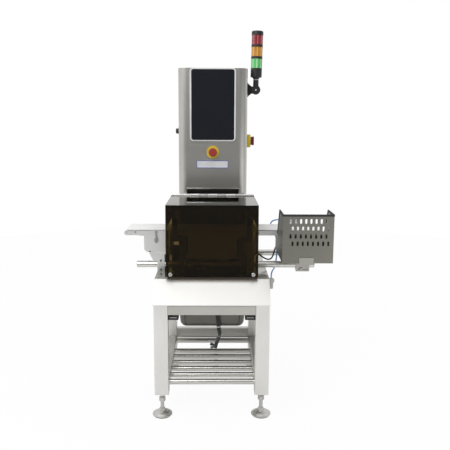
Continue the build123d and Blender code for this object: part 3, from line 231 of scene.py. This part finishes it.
def polishedSteel(name, light, dark, rough, scale=9.0, detail=5.0):
    material, tree, shader = newMaterial(name)
    handling = noise(tree, (scale, scale, scale), detail=detail)
    colour = mixColours(tree, remap(tree, handling, 0, 1), light, dark)
    asMetal(tree, shader, colour, remap(tree, handling, rough * 0.7, rough * 1.5))
    return material


def mouldedPlastic(name, colour, rough, depth=0.12, coat=0.0):
    # an even colour with cloudy wear in its gloss and a fine moulded grain
    material, tree, shader = newMaterial(name)
    grainy = noise(tree, unstretched, scale=2500.0, detail=2.0)
    cloudy = noise(tree, (14.0, 14.0, 14.0))
    shade = tuple(channel * 0.8 for channel in colour)
    tree.links.new(mixColours(tree, remap(tree, cloudy, 0, 1), colour, shade), shader.inputs["Base Color"])
    tree.links.new(remap(tree, cloudy, rough - 0.05, rough + 0.07), shader.inputs["Roughness"])
    shader.inputs["Coat Weight"].default_value = coat
    shader.inputs["Coat Roughness"].default_value = 0.08
    bump(tree, shader, grainy, depth)
    return material


def beltSurface(name, colour, rough):
    material, tree, shader = newMaterial(name)
    weave = noise(tree, unstretched, scale=1400.0, detail=1.0)
    wear = noise(tree, (2.0, 14.0, 14.0), detail=5.0)
    worn = tuple(channel * 0.9 for channel in colour)
    tree.links.new(mixColours(tree, remap(tree, wear, 0, 1), colour, worn), shader.inputs["Base Color"])
    tree.links.new(remap(tree, wear, rough - 0.08, rough + 0.08), shader.inputs["Roughness"])
    bump(tree, shader, weave, 0.2)
    return material


def tintedSheet(name, tint, rough):
    material, tree, shader = newMaterial(name)
    haze = noise(tree, (5.0, 5.0, 5.0), detail=4.0)
    tree.links.new(remap(tree, haze, rough, rough * 2.2), shader.inputs["Roughness"])
    shader.inputs["Base Color"].default_value = (*tint, 1)
    shader.inputs["Transmission Weight"].default_value = 1.0
    shader.inputs["IOR"].default_value = 1.49
    return material


def lensPlastic(name, colour):
    material, tree, shader = newMaterial(name)
    cloudy = noise(tree, (30.0, 30.0, 8.0), detail=2.0)
    pale = tuple(min(1.0, channel * 1.25 + 0.05) for channel in colour)
    tree.links.new(mixColours(tree, remap(tree, cloudy, 0, 1), colour, pale), shader.inputs["Base Color"])
    tree.links.new(remap(tree, cloudy, 0.10, 0.2), shader.inputs["Roughness"])
    shader.inputs["Transmission Weight"].default_value = 0.3
    shader.inputs["Coat Weight"].default_value = 0.5
    return material


cabinetRecess = {"halfWidth": 125.4, "front": 151, "back": 208.4, "top": 945}
tableTop = 596
hingeSeam = 914

finishes = {
    # the cabinet shell, with its recess walls in painted shade
    "shellSteel": panelSteel("shellSteel", (0.60, 0.595, 0.565), (0.49, 0.485, 0.455), (0.10, 0.097, 0.09),
                             cabinetRecess, 0.37),
    "cabinetSteel": brushedSteel("cabinetSteel", (0.60, 0.595, 0.565), (0.49, 0.485, 0.455), 0.37, "x"),
    "frameSteel": brushedSteel("frameSteel", (0.84, 0.83, 0.80), (0.73, 0.72, 0.69), 0.36, "z"),
    # the beams' steel is a darker copy of the legs' steel, as painted shade under the table cover
    "beamSteelPaintedShade": brushedSteel("beamSteelPaintedShade", (0.58, 0.57, 0.53), (0.47, 0.46, 0.425), 0.34, "x"),
    # the table cover, its level top in a darker colour as a painted reflection of the dark hood
    "coverSteel": coverSheet("coverSteel", (0.90, 0.895, 0.87), (0.46, 0.455, 0.43), tableTop, 0.38),
    "plateSteel": brushedSteel("plateSteel", (0.86, 0.86, 0.85), (0.77, 0.77, 0.76), 0.40, "x"),
    "strapSteel": brushedSteel("strapSteel", (0.50, 0.49, 0.45), (0.42, 0.41, 0.375), 0.40, "x"),
    "darkScrew": polishedSteel("darkScrew", (0.16, 0.16, 0.16), (0.08, 0.08, 0.08), 0.3),
    "footSteel": polishedSteel("footSteel", (0.60, 0.59, 0.565), (0.54, 0.53, 0.505), 0.32,
                               scale=3.0, detail=1.0),
    "hingeSteel": hingeSteel("hingeSteel", (0.90, 0.90, 0.89), (0.15, 0.147, 0.14), hingeSeam, 0.38),
    "wallSteel": brushedSteel("wallSteel", (0.42, 0.415, 0.40), (0.34, 0.335, 0.32), 0.38, "x"),
    "binSteel": brushedSteel("binSteel", (0.28, 0.272, 0.24), (0.235, 0.228, 0.20), 0.42, "z"),
    # the pan's near-black steel is painted shade, where it hangs under the table
    "panSteelPaintedShade": brushedSteel("panSteelPaintedShade", (0.13, 0.127, 0.112), (0.10, 0.097, 0.085), 0.22, "x"),
    "barSteel": polishedSteel("barSteel", (0.72, 0.71, 0.67), (0.62, 0.61, 0.575), 0.22,
                              scale=4.0, detail=2.0),
    "screwSteel": polishedSteel("screwSteel", (0.84, 0.84, 0.83), (0.66, 0.66, 0.65), 0.2),
    "leverSteel": polishedSteel("leverSteel", (0.45, 0.45, 0.45), (0.3, 0.3, 0.3), 0.25),
    "milledAluminium": brushedSteel("milledAluminium", (0.82, 0.82, 0.82), (0.70, 0.70, 0.70), 0.36, "y"),
    "castGrey": mouldedPlastic("castGrey", (0.60, 0.60, 0.57), 0.42, depth=0.25),
    "beltWhite": beltSurface("beltWhite", (0.90, 0.90, 0.885), 0.55),
    "motorPaint": mouldedPlastic("motorPaint", (0.10, 0.10, 0.105), 0.45),
    "blackPlastic": mouldedPlastic("blackPlastic", (0.022, 0.022, 0.023), 0.42),
    "blackRubber": mouldedPlastic("blackRubber", (0.018, 0.018, 0.018), 0.6, depth=0.25),
    "cableSheath": mouldedPlastic("cableSheath", (0.009, 0.009, 0.010), 0.5, depth=0.2),
    "modulePlastic": mouldedPlastic("modulePlastic", (0.10, 0.11, 0.12), 0.5),
    "bezelPaint": mouldedPlastic("bezelPaint", (0.78, 0.78, 0.77), 0.35),
    "screenGlass": mouldedPlastic("screenGlass", (0.009, 0.011, 0.016), 0.16, depth=0.0, coat=0.2),
    "yellowPlastic": mouldedPlastic("yellowPlastic", (0.82, 0.62, 0.05), 0.35),
    "redPlastic": mouldedPlastic("redPlastic", (0.42, 0.045, 0.035), 0.32),
    "handlePlastic": mouldedPlastic("handlePlastic", (0.17, 0.025, 0.04), 0.35),
    "blueHose": mouldedPlastic("blueHose", (0.10, 0.38, 0.82), 0.25),
    "tintedHood": tintedSheet("tintedHood", (0.115, 0.080, 0.022), 0.02),
    # a near-black brown for the painted shadow and reflection of the hood on the table's slope
    "hoodShadowTone": mouldedPlastic("hoodShadowTone", (0.035, 0.02, 0.008), 0.3),
    "redLens": lensPlastic("redLens", (0.28, 0.015, 0.022)),
    "redStreak": lensPlastic("redStreak", (0.52, 0.12, 0.14)),
    "amberLens": lensPlastic("amberLens", (0.60, 0.24, 0.012)),
    "amberStreak": lensPlastic("amberStreak", (0.80, 0.47, 0.12)),
    "greenLens": lensPlastic("greenLens", (0.10, 0.55, 0.14)),
    "greenStreak": lensPlastic("greenStreak", (0.42, 0.80, 0.42)),
    "plateWhite": mouldedPlastic("plateWhite", (0.80, 0.81, 0.84), 0.3),
    "plateBlue": mouldedPlastic("plateBlue", (0.10, 0.13, 0.52), 0.3),
    "silverTie": polishedSteel("silverTie", (0.75, 0.75, 0.74), (0.6, 0.6, 0.6), 0.35),
    "weldSteel": polishedSteel("weldSteel", (0.5, 0.49, 0.46), (0.3, 0.29, 0.27), 0.4),
}

nodeFinish = {
    "legs": "frameSteel",
    "frame_rails": "beamSteelPaintedShade",
    "shelf_bars": "barSteel",
    "table_cover": "coverSteel",
    "hanging_pan": "panSteelPaintedShade",
    "guide_rails": "barSteel",
    "rail_blocks": "plateSteel",
    "block_screws": "darkScrew",
    "conveyor_supports": "plateSteel",
    "side_plates": "plateSteel",
    "slider_beds": "plateSteel",
    "conveyor_belts": "beltWhite",
    "conveyor_motors": "motorPaint",
    "load_cell": "milledAluminium",
    "weigh_platform": "milledAluminium",
    "sensor_posts": "wallSteel",
    "sensor_heads": "blackPlastic",
    "cabinet_shell": "shellSteel",
    "cabinet_door": "cabinetSteel",
    "mounting_plate": "plateSteel",
    "control_modules": "modulePlastic",
    "door_lock": "screwSteel",
    "display_bezel": "bezelPaint",
    "display_glass": "screenGlass",
    "estop_ring": "yellowPlastic",
    "estop_button": "redPlastic",
    "isolator_base": "yellowPlastic",
    "isolator_handle": "handlePlastic",
    "service_socket": "blackPlastic",
    "tower_bracket": "blackPlastic",
    "tower_body": "blackPlastic",
    "red_lens": "redLens",
    "amber_lens": "amberLens",
    "green_lens": "greenLens",
    "fixed_hinges": "hingeSteel",
    "hood_cover": "tintedHood",
    "hood_fittings": "screwSteel",
    "release_lever": "leverSteel",
    "bin_shell": "binSteel",
    "bin_trim": "blackRubber",
    "bin_bracket": "strapSteel",
    "air_nozzle": "milledAluminium",
    "filter_regulator": "castGrey",
}
for conveyor in ("infeed", "weigh", "outfeed"):
    for roller in ("drive_roller", "nose_roller"):
        nodeFinish[f"{conveyor}_{roller}"] = "milledAluminium"
for corner in ("front_left", "front_right", "back_left", "back_right"):
    nodeFinish[f"foot_{corner}"] = "footSteel"
    nodeFinish[f"sole_{corner}"] = "blackRubber"
for name, finish in nodeFinish.items():
    nodes[name].data.materials.clear()
    nodes[name].data.materials.append(finishes[finish])
print("materials:", len(finishes))

cords = {
    "airHose": {
        "points": [
            (265, -110, 576), (265, -110, 588), (268, -98, 597), (275, -78, 603), (282, -56, 604),
            (290, -38, 620), (295, -26, 645), (298, -12, 664), (303, 18, 683), (305, 54, 710),
            (299, 87, 736), (286, 110, 757), (277, 119, 779), (285, 116, 796), (304, 107, 804),
            (331, 98, 806), (357, 98, 806),
        ],
        "radius": 3, "finish": "blueHose", "slot": "blue_hose", "node": "air_hose", "stiffness": "stiff",
    },
    "motorCable": {
        "points": [
            (164, 230, 660), (182, 230, 660), (201, 218, 661), (212, 194, 662), (214, 164, 662),
            (209, 134, 662), (206, 104, 660), (208, 75, 655), (222, 49, 645), (243, 38, 632),
            (264, 39, 623), (281, 42, 630), (290, 46, 653), (296, 53, 677), (311, 66, 695),
            (333, 81, 708), (356, 91, 719), (375, 95, 724), (394, 95, 728), (412, 95, 728),
        ],
        "radius": 3.5, "finish": "cableSheath", "slot": "black_rubber", "node": "motor_cable",
        "stiffness": "medium",
    },
    "cableBundle": {
        "points": [
            (22, -172, 504), (22, -172, 476), (23, -175, 446), (25, -179, 416), (28, -180, 387),
            (31, -173, 358), (34, -152, 332), (33, -120, 311), (31, -86, 291), (29, -52, 270),
            (26, -18, 246), (21, 16, 220), (17, 52, 196), (16, 88, 170.8),
        ],
        "radius": 8, "finish": "cableSheath", "slot": "black_rubber", "node": "cable_bundle",
        "stiffness": "stiff",
    },
}


def routeCurve(name, points):
    curve = bpy.data.curves.new(name, "CURVE")
    curve.dimensions = "3D"
    spline = curve.splines.new("NURBS")
    spline.points.add(len(points) - 1)
    for point, spot in zip(spline.points, points):
        point.co = (*place(*spot), 1)
    spline.order_u = 3
    spline.use_endpoint_u = True
    spline.resolution_u = 12
    holder = bpy.data.objects.new(name, curve)
    bpy.context.scene.collection.objects.link(holder)
    return holder


def routeLine(points):
    # the points along a route's smooth spline, read from it with no bevel
    holder = routeCurve("routeLine", points)
    bpy.context.view_layer.update()
    smoothed = holder.evaluated_get(bpy.context.evaluated_depsgraph_get())
    mesh = bpy.data.meshes.new_from_object(smoothed)
    line = [vert.co.copy() for vert in mesh.vertices]
    bpy.data.meshes.remove(mesh)
    bpy.data.objects.remove(holder)
    return line


def declareCord(piece, facts):
    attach(piece, "stand")
    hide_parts(facts["node"])


def addPiece(name, bm, finishNames, body, smooth=35):
    bmesh.ops.remove_doubles(bm, verts=bm.verts, dist=1e-6)
    bmesh.ops.recalc_face_normals(bm, faces=bm.faces)
    mesh = bpy.data.meshes.new(name)
    bm.to_mesh(mesh)
    bm.free()
    for face in mesh.polygons:
        face.use_smooth = True
    mesh.set_sharp_from_angle(angle=radians(smooth))
    for finish in finishNames:
        mesh.materials.append(finishes[finish])
    piece = bpy.data.objects.new(name, mesh)
    bpy.context.scene.collection.objects.link(piece)
    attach(piece, body)
    return piece


def newEnd(bm, faces):
    # extrudes the faces in place, and gives the new end's vertices and faces
    made = bmesh.ops.extrude_face_region(bm, geom=faces)["geom"]
    verts = [item for item in made if isinstance(item, bmesh.types.BMVert)]
    return verts, [item for item in made if isinstance(item, bmesh.types.BMFace)]


def stationFrames(line, twist):
    # one frame at each point, carried along without spin and then turned by the twist
    ahead = [(b - a).normalized() for a, b in zip(line, line[1:])]
    ahead.append(ahead[-1])
    side = ahead[0].orthogonal().normalized()
    frames = []
    travelled = 0.0
    for index, spot in enumerate(line):
        heading = ahead[index]
        side = (side - heading * side.dot(heading)).normalized()
        if index:
            travelled += (spot - line[index - 1]).length
        turned = Matrix.Rotation(twist * travelled, 3, heading) @ side
        across = heading.cross(turned)
        axes = Matrix((turned, across, heading)).transposed().to_4x4()
        frames.append(Matrix.Translation(spot) @ axes)
    return frames


def sweepAlong(line, radius, segments, lobes=0, depth=0.0, twist=0.0):
    # a closed tube whose section may be lobed, as cables bound side by side are
    bm = bmesh.new()
    frames = stationFrames(line, twist)
    ring = bmesh.ops.create_circle(bm, cap_ends=True, segments=segments, radius=radius)["verts"]
    for vert in ring:
        angle = atan2(vert.co.y, vert.co.x)
        vert.co *= 1 - depth * (1 - abs(cos(lobes * angle / 2))) if lobes else 1
    bmesh.ops.transform(bm, matrix=frames[0], verts=ring)
    end = list(bm.faces)
    for before, after in zip(frames, frames[1:]):
        verts, end = newEnd(bm, end)
        bmesh.ops.transform(bm, matrix=after @ before.inverted(), verts=verts)
    return bm


def alongAxis(start, end):
    heading = (end - start).normalized()
    return Matrix.Translation(start) @ heading.to_track_quat("Z", "Y").to_matrix().to_4x4()


def turnedBody(profile, segments, start, end):
    # a body turned from (height, radius) steps, set along the line from start to end
    bm = bmesh.new()
    bmesh.ops.create_circle(bm, cap_ends=True, segments=segments, radius=profile[0][1] * mm)
    top = list(bm.faces)
    bmesh.ops.translate(bm, vec=(0, 0, profile[0][0] * mm), verts=bm.verts)
    for (lowHeight, lowRadius), (height, radius) in zip(profile, profile[1:]):
        verts, top = newEnd(bm, top)
        share = radius / lowRadius
        bmesh.ops.scale(bm, vec=(share, share, 1), verts=verts)
        bmesh.ops.translate(bm, vec=(0, 0, (height - lowHeight) * mm), verts=verts)
    bmesh.ops.transform(bm, matrix=alongAxis(start, end), verts=bm.verts)
    return bm


def joined(parts):
    whole = bmesh.new()
    for part in parts:
        mesh = bpy.data.meshes.new("joining")
        part.to_mesh(mesh)
        part.free()
        whole.from_mesh(mesh)
        bpy.data.meshes.remove(mesh)
    return whole


wrapping = {
    "lobes": 7, "depth": 0.12, "turnsPerMetre": 3.5, "segments": 42, "radius": 9.3,
    "tieHeights": (372, 312), "tieWidth": 5, "tieRadius": 9.8, "tieEdge": 0.5, "tieSegments": 32,
}
connectors = {
    "profile": [
        (0, 3.2), (3, 4.2), (4, 4.6), (11, 4.6), (12, 5.2), (15, 5.2), (16, 4.4), (22, 4.4), (23, 3.6),
    ],
    "segments": 12,
    "runs": [
        ((13, 86, 172), (-10, 88, 168)),
        ((11, 94, 178), (-14, 90, 181)),
        ((12, 83, 183), (-15, 84, 192)),
    ],
}


def makeTies(line):
    ties = []
    halfWidth = wrapping["tieWidth"] * mm / 2
    for index, height in enumerate(wrapping["tieHeights"]):
        nearest = min(range(len(line)), key=lambda spot: abs(line[spot].z - height * mm))
        heading = (line[nearest + 1] - line[nearest - 1]).normalized()
        band = [line[nearest] + heading * step * halfWidth for step in (-1, -0.6, 0.6, 1)]
        bm = sweepAlong(band, wrapping["tieRadius"] * mm, wrapping["tieSegments"])
        rims = [edge for edge in bm.edges if len(edge.link_faces) == 2 and edge.calc_face_angle(0) > 1]
        bmesh.ops.bevel(bm, geom=rims, offset=wrapping["tieEdge"] * mm, segments=2, profile=0.5,
                        affect="EDGES", material=-1)
        ties.append(addPiece(f"bundleTie{index + 1}", bm, ["silverTie"], "stand"))
    return ties


def makeConnectors():
    # the plugs that the bundle's cables end in, on a lower bar
    bodies = [
        turnedBody(connectors["profile"], connectors["segments"], place(*start), place(*end))
        for start, end in connectors["runs"]
    ]
    return addPiece("bundleConnectors", joined(bodies), ["modulePlastic"], "stand")


def makeRoundCord(name):
    facts = cords[name]
    piece = routeCurve(name, facts["points"])
    piece.data.bevel_depth = facts["radius"] * mm
    piece.data.bevel_resolution = 5
    piece.data.use_fill_caps = True
    piece.data.materials.append(finishes[facts["finish"]])
    declareCord(piece, facts)


def makeBundle():
    # cables bound side by side, which show as lobes that turn slowly
    facts = cords["cableBundle"]
    line = routeLine(facts["points"])
    bm = sweepAlong(line, wrapping["radius"] * mm, wrapping["segments"], wrapping["lobes"],
                    wrapping["depth"], 2 * pi * wrapping["turnsPerMetre"])
    piece = addPiece("cableBundle", bm, [facts["finish"]], "stand", smooth=50)
    extras = [*makeTies(line), makeConnectors()]
    declareCord(piece, facts)


makeRoundCord("airHose")
makeRoundCord("motorCable")
makeBundle()
print("cords:", len(cords))


def block(low, high, edge=0.0, segments=2):
    # a box between two corners, with its edges rounded
    bm = bmesh.new()
    bmesh.ops.create_cube(bm, size=1)
    lowCorner, highCorner = place(*low), place(*high)
    bmesh.ops.scale(bm, vec=highCorner - lowCorner, verts=bm.verts)
    bmesh.ops.translate(bm, vec=(lowCorner + highCorner) / 2, verts=bm.verts)
    if edge:
        bmesh.ops.bevel(bm, geom=bm.edges[:], offset=edge * mm, segments=segments, profile=0.5,
                        affect="EDGES", material=-1)
    return bm


def makeHoodShadowStrip():
    # a dark strip on the table under the hood's front edge, the painted shadow and reflection of the hood on
    # the slope
    shadowStrip = {"halfWidth": 191, "front": -214, "back": -198, "bottom": 596.2, "top": 606.6, "edge": 1.5}
    bm = block((-shadowStrip["halfWidth"], shadowStrip["front"], shadowStrip["bottom"]),
               (shadowStrip["halfWidth"], shadowStrip["back"], shadowStrip["top"]), shadowStrip["edge"])
    addPiece("hoodShadowStrip", bm, ["hoodShadowTone"], "stand")


def makeNamePlate():
    # left bare: a white panel in a raised blue border
    plate = {"left": -78, "right": 74, "bottom": 1046, "top": 1082, "front": 148.6, "panel": 150,
             "corner": 4, "border": 2.6, "sunk": 0.3}
    bm = block((plate["left"], plate["front"], plate["bottom"]),
               (plate["right"], plate["panel"], plate["top"]))
    uprights = []
    for edge in bm.edges:
        first, last = (vert.co for vert in edge.verts)
        if abs((first - last).normalized().y) > 0.9:
            uprights.append(edge)
    bmesh.ops.bevel(bm, geom=uprights, offset=plate["corner"] * mm, segments=4, profile=0.5,
                    affect="EDGES", material=-1)
    front = min(bm.faces, key=lambda face: face.calc_center_median().y)
    rim = bmesh.ops.inset_individual(bm, faces=[front], thickness=plate["border"] * mm,
                                     depth=-plate["sunk"] * mm)["faces"]
    for face in rim:
        face.material_index = 1
    addPiece("namePlate", bm, ["plateWhite", "plateBlue"], "stand")


tower = {"x": 206.5, "y": 250, "pivot": 1417, "lean": 1.2}
lens = {
    "radius": 27, "ribs": 24, "ribSteps": 4, "ribDepth": 1.2, "streakEvery": 3,
    "height": 43.5, "ring": 11, "start": 102,
}
neck = [
    ("towerSleeve", 17, "blackPlastic", [(0, 12.6), (1, 13.2), (28, 13.2), (29, 12.6)]),
    ("towerClamp", 46, "silverTie", [(0, 12.8), (0.8, 13.8), (4.2, 13.8), (5, 12.8)]),
    ("towerCollar", 51, "blackPlastic", [(0, 12.4), (2, 13.4), (5, 13.4), (8, 17), (9, 17)]),
]
neckSegments = 48
knuckleScrew = {
    "ahead": 14, "segments": 24,
    "profile": [(0, 4.2), (0.6, 4.0), (1.3, 3.2), (1.9, 2.0), (2.1, 0.9), (2.2, 0.2)],
}
toFront = Vector((0, -1, 0))


def towerSpot(rise):
    lean = radians(tower["lean"])
    return place(tower["x"] + rise * sin(lean), tower["y"], tower["pivot"] + rise * cos(lean))


def makeLens(colour, tier):
    # a ribbed sleeve, with every third rib in a paler tone, as light falls through the moulding
    rise = lens["start"] + (lens["height"] + lens["ring"]) * tier
    bm = bmesh.new()
    segments = lens["ribs"] * lens["ribSteps"]
    ring = bmesh.ops.create_circle(bm, cap_ends=True, segments=segments, radius=lens["radius"] * mm)
    for vert in ring["verts"]:
        hollow = 0.5 - 0.5 * cos(lens["ribs"] * atan2(vert.co.y, vert.co.x))
        vert.co *= 1 - hollow * lens["ribDepth"] / lens["radius"]
    raised = newEnd(bm, bm.faces[:])[0]
    bmesh.ops.translate(bm, vec=(0, 0, lens["height"] * mm), verts=raised)
    for face in bm.faces:
        spot = face.calc_center_median()
        rib = round(lens["ribs"] * atan2(spot.y, spot.x) / (2 * pi))
        face.material_index = int(len(face.verts) == 4 and rib % lens["streakEvery"] == 0)
    bmesh.ops.transform(bm, matrix=alongAxis(towerSpot(rise), towerSpot(rise + 1)), verts=bm.verts)
    tones = [f"{colour}Lens", f"{colour}Streak"]
    piece = addPiece(f"{colour}RibbedLens", bm, tones, "signal_tower", smooth=50)
    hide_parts(f"{colour}_lens")


def makeTowerNeck():
    # a sleeve over the post with a bright clamp ring, and the screw in the knuckle's middle
    for name, low, finish, profile in neck:
        bm = turnedBody(profile, neckSegments, towerSpot(low), towerSpot(low + 1))
        addPiece(name, bm, [finish], "signal_tower")
    start = place(tower["x"], tower["y"] - knuckleScrew["ahead"], tower["pivot"])
    bm = turnedBody(knuckleScrew["profile"], knuckleScrew["segments"], start, start + toFront)
    addPiece("knuckleScrew", bm, ["bezelPaint"], "signal_tower")


def makePlateScrews():
    # button-head screws on the infeed plate, seen as small dark dots
    screws = {
        "front": -85, "spots": [(-343.4, 777.6), (-279.9, 689.7), (-206, 777.6), (-206, 697)],
        "profile": [(0, 3.6), (1.2, 3.2), (1.9, 2.2), (1.9, 1.5), (0.7, 1.4)], "segments": 24,
    }
    bodies = []
    for x, z in screws["spots"]:
        start = place(x, screws["front"], z)
        bodies.append(turnedBody(screws["profile"], screws["segments"], start, start + toFront))
    addPiece("plateScrews", joined(bodies), ["leverSteel"], "stand")


def makePanelLip():
    # the folded lower edge of the cabinet's front panel, which catches the light
    lip = {"halfWidth": 125, "front": 148.8, "back": 150, "bottom": 945.4, "top": 950.5, "edge": 0.5}
    bm = block((-lip["halfWidth"], lip["front"], lip["bottom"]),
               (lip["halfWidth"], lip["back"], lip["top"]), lip["edge"])
    addPiece("panelLip", bm, ["screwSteel"], "stand")


def makeCornerShadeBlocks():
    # dark blocks in the corners of the beam ring, beside the front legs, as painted shade of the space under
    # the table, with light strips across them
    shadeBlock = {"inner": 185, "outer": 141, "front": -285, "back": -245, "bottom": 436, "top": 462, "edge": 1.5}
    strip = {"inset": 7, "front": -286.2, "back": -284, "bottom": 445, "top": 449, "edge": 0.5}
    bodies = []
    strips = []
    for side in (-1, 1):
        low, high = sorted((side * shadeBlock["inner"], side * shadeBlock["outer"]))
        bodies.append(block((low, shadeBlock["front"], shadeBlock["bottom"]),
                            (high, shadeBlock["back"], shadeBlock["top"]), shadeBlock["edge"]))
        strips.append(block((low + strip["inset"], strip["front"], strip["bottom"]),
                            (high - strip["inset"], strip["back"], strip["top"]), strip["edge"]))
    addPiece("cornerShadeBlocks", joined(bodies), ["blackRubber"], "stand")
    addPiece("shadeBlockStrips", joined(strips), ["weldSteel"], "stand")


def makeWelds():
    # rows of small flattened beads where beams and rails meet the legs
    weld = {"pitch": 2.6, "radius": 2.2, "flat": 0.6}
    beam = {"x": 185, "from": 298, "to": 242, "z": 462}
    rail = {"from": 188, "to": 222, "y": 240, "heights": (130, 170)}
    runs = []
    for side in (-1, 1):
        for depth in (-1, 1):
            runs.append(((side * beam["x"], depth * beam["from"], beam["z"]),
                         (side * beam["x"], depth * beam["to"], beam["z"])))
            for height in rail["heights"]:
                runs.append(((side * rail["from"], depth * rail["y"], height),
                             (side * rail["to"], depth * rail["y"], height)))
    bm = bmesh.new()
    for start, end in runs:
        first, last = place(*start), place(*end)
        count = int((last - first).length / (weld["pitch"] * mm))
        for index in range(count + 1):
            spot = first.lerp(last, index / count)
            bead = bmesh.ops.create_icosphere(bm, subdivisions=1, radius=weld["radius"] * mm)["verts"]
            bmesh.ops.scale(bm, vec=(1, 1, weld["flat"]), verts=bead)
            bmesh.ops.translate(bm, vec=spot, verts=bead)
    addPiece("weldBeads", bm, ["weldSteel"], "stand", smooth=60)


makeHoodShadowStrip()
makeNamePlate()
for tier, colour in enumerate(("green", "amber", "red")):
    makeLens(colour, tier)
makeTowerNeck()
makePlateScrews()
makePanelLip()
makeCornerShadeBlocks()
makeWelds()
print("pieces made")

studio = {
    "roomTone": 0.16, "roomEdge": -0.05, "sweepEdge": 0.35, "sweepTone": 0.9, "ceilingTone": 1.0,
    "ceilingFrom": (0.25, 0.75), "cardTone": 0.9, "cardAt": (-0.8, -0.5),
    "glowAt": (0.6, 0.85), "glowUnder": (-0.07, -0.01),
}
ground = {
    "radius": 4.5, "segments": 96, "tone": 0.86, "roughness": 0.7, "specular": 0.1, "glow": 0.94,
    "shine": 0.6, "rimShine": 0.2, "rise": (0.5, 1.8), "fadeFrom": 2.2,
}
lamps = {
    "keySoftbox": {"size": (2.6, 1.6), "energy": 60, "at": (-1.6, -2.6, 3.2), "aim": (0, 0, 0.8)},
    "fillSoftbox": {"size": (3.0, 0.95), "energy": 11, "at": (2.4, -2.2, 0.5), "aim": (0, 0, 0.5)},
}


def makeWorld():
    # white behind and overhead, a dim room in front
    # a white card at the left and a low glow at the right
    world = bpy.data.worlds.new("studio")
    bpy.context.scene.world = world
    world.use_nodes = True
    tree = world.node_tree
    back = tree.nodes["Background"]
    where = tree.nodes.new("ShaderNodeTexCoord")
    split = tree.nodes.new("ShaderNodeSeparateXYZ")
    tree.links.new(where.outputs["Generated"], split.inputs["Vector"])
    x, y, z = split.outputs
    behind = remap(tree, y, studio["roomTone"], studio["sweepTone"], studio["roomEdge"], studio["sweepEdge"])
    above = remap(tree, z, 0.0, studio["ceilingTone"], *studio["ceilingFrom"])
    leftCard = remap(tree, x, studio["cardTone"], 0.0, *studio["cardAt"])
    rightSide = remap(tree, x, 0.0, studio["cardTone"], *studio["glowAt"])
    rightLow = combine(tree, "MULTIPLY", rightSide, remap(tree, z, 1.0, 0.0, *studio["glowUnder"]))
    path = tree.nodes.new("ShaderNodeLightPath")
    strength = behind
    for other in (above, leftCard, rightLow):
        strength = combine(tree, "MAXIMUM", strength, other)
    for ray in ("Is Camera Ray", "Is Transmission Ray"):
        strength = combine(tree, "MAXIMUM", strength, path.outputs[ray])
    tree.links.new(strength, back.inputs["Strength"])
    back.inputs["Color"].default_value = (1, 1, 1, 1)


def makeFloor():
    # white to the eye with a faint shadow
    # metal sees it dark under the stand, lighter around it and dimmer again at its rim
    bm = bmesh.new()
    bmesh.ops.create_circle(bm, cap_ends=True, segments=ground["segments"], radius=ground["radius"])
    mesh = bpy.data.meshes.new("floor")
    bm.to_mesh(mesh)
    bm.free()
    material, tree, shader = newMaterial("floorWhite")
    tone = ground["tone"]
    shader.inputs["Base Color"].default_value = (tone, tone, tone, 1)
    shader.inputs["Roughness"].default_value = ground["roughness"]
    shader.inputs["Specular IOR Level"].default_value = ground["specular"]
    glow = tree.nodes.new("ShaderNodeEmission")
    mix = tree.nodes.new("ShaderNodeMixShader")
    path = tree.nodes.new("ShaderNodeLightPath")
    length = tree.nodes.new("ShaderNodeVectorMath")
    length.operation = "LENGTH"
    tree.links.new(coordinates(tree, (1.0, 1.0, 0.0)), length.inputs[0])
    away = length.outputs["Value"]
    rising = remap(tree, away, 0.0, ground["shine"], *ground["rise"])
    falling = remap(tree, away, ground["shine"], ground["rimShine"], ground["fadeFrom"], ground["radius"])
    outer = combine(tree, "MINIMUM", rising, falling)
    reflected = combine(tree, "MAXIMUM", path.outputs["Is Glossy Ray"], path.outputs["Is Transmission Ray"])
    direct = remap(tree, path.outputs["Is Camera Ray"], 0.0, ground["glow"], 0.0, 1.0)
    amount = combine(tree, "MAXIMUM", direct, combine(tree, "MULTIPLY", reflected, outer))
    tree.links.new(amount, mix.inputs["Fac"])
    tree.links.new(shader.outputs[0], mix.inputs[1])
    tree.links.new(glow.outputs[0], mix.inputs[2])
    tree.links.new(mix.outputs[0], tree.nodes["Material Output"].inputs["Surface"])
    mesh.materials.append(material)
    floor = bpy.data.objects.new("floor", mesh)
    bpy.context.scene.collection.objects.link(floor)


def makeLamp(name, facts):
    lamp = bpy.data.lights.new(name, "AREA")
    lamp.shape = "RECTANGLE"
    lamp.size, lamp.size_y = facts["size"]
    lamp.energy = facts["energy"]
    holder = bpy.data.objects.new(name, lamp)
    bpy.context.scene.collection.objects.link(holder)
    holder.location = facts["at"]
    aim = Vector(facts["aim"]) - Vector(facts["at"])
    holder.rotation_euler = aim.to_track_quat("-Z", "Y").to_euler()


makeWorld()
makeFloor()
for name, facts in lamps.items():
    makeLamp(name, facts)
bpy.context.scene.view_settings.view_transform = "Standard"
print("stage ready")
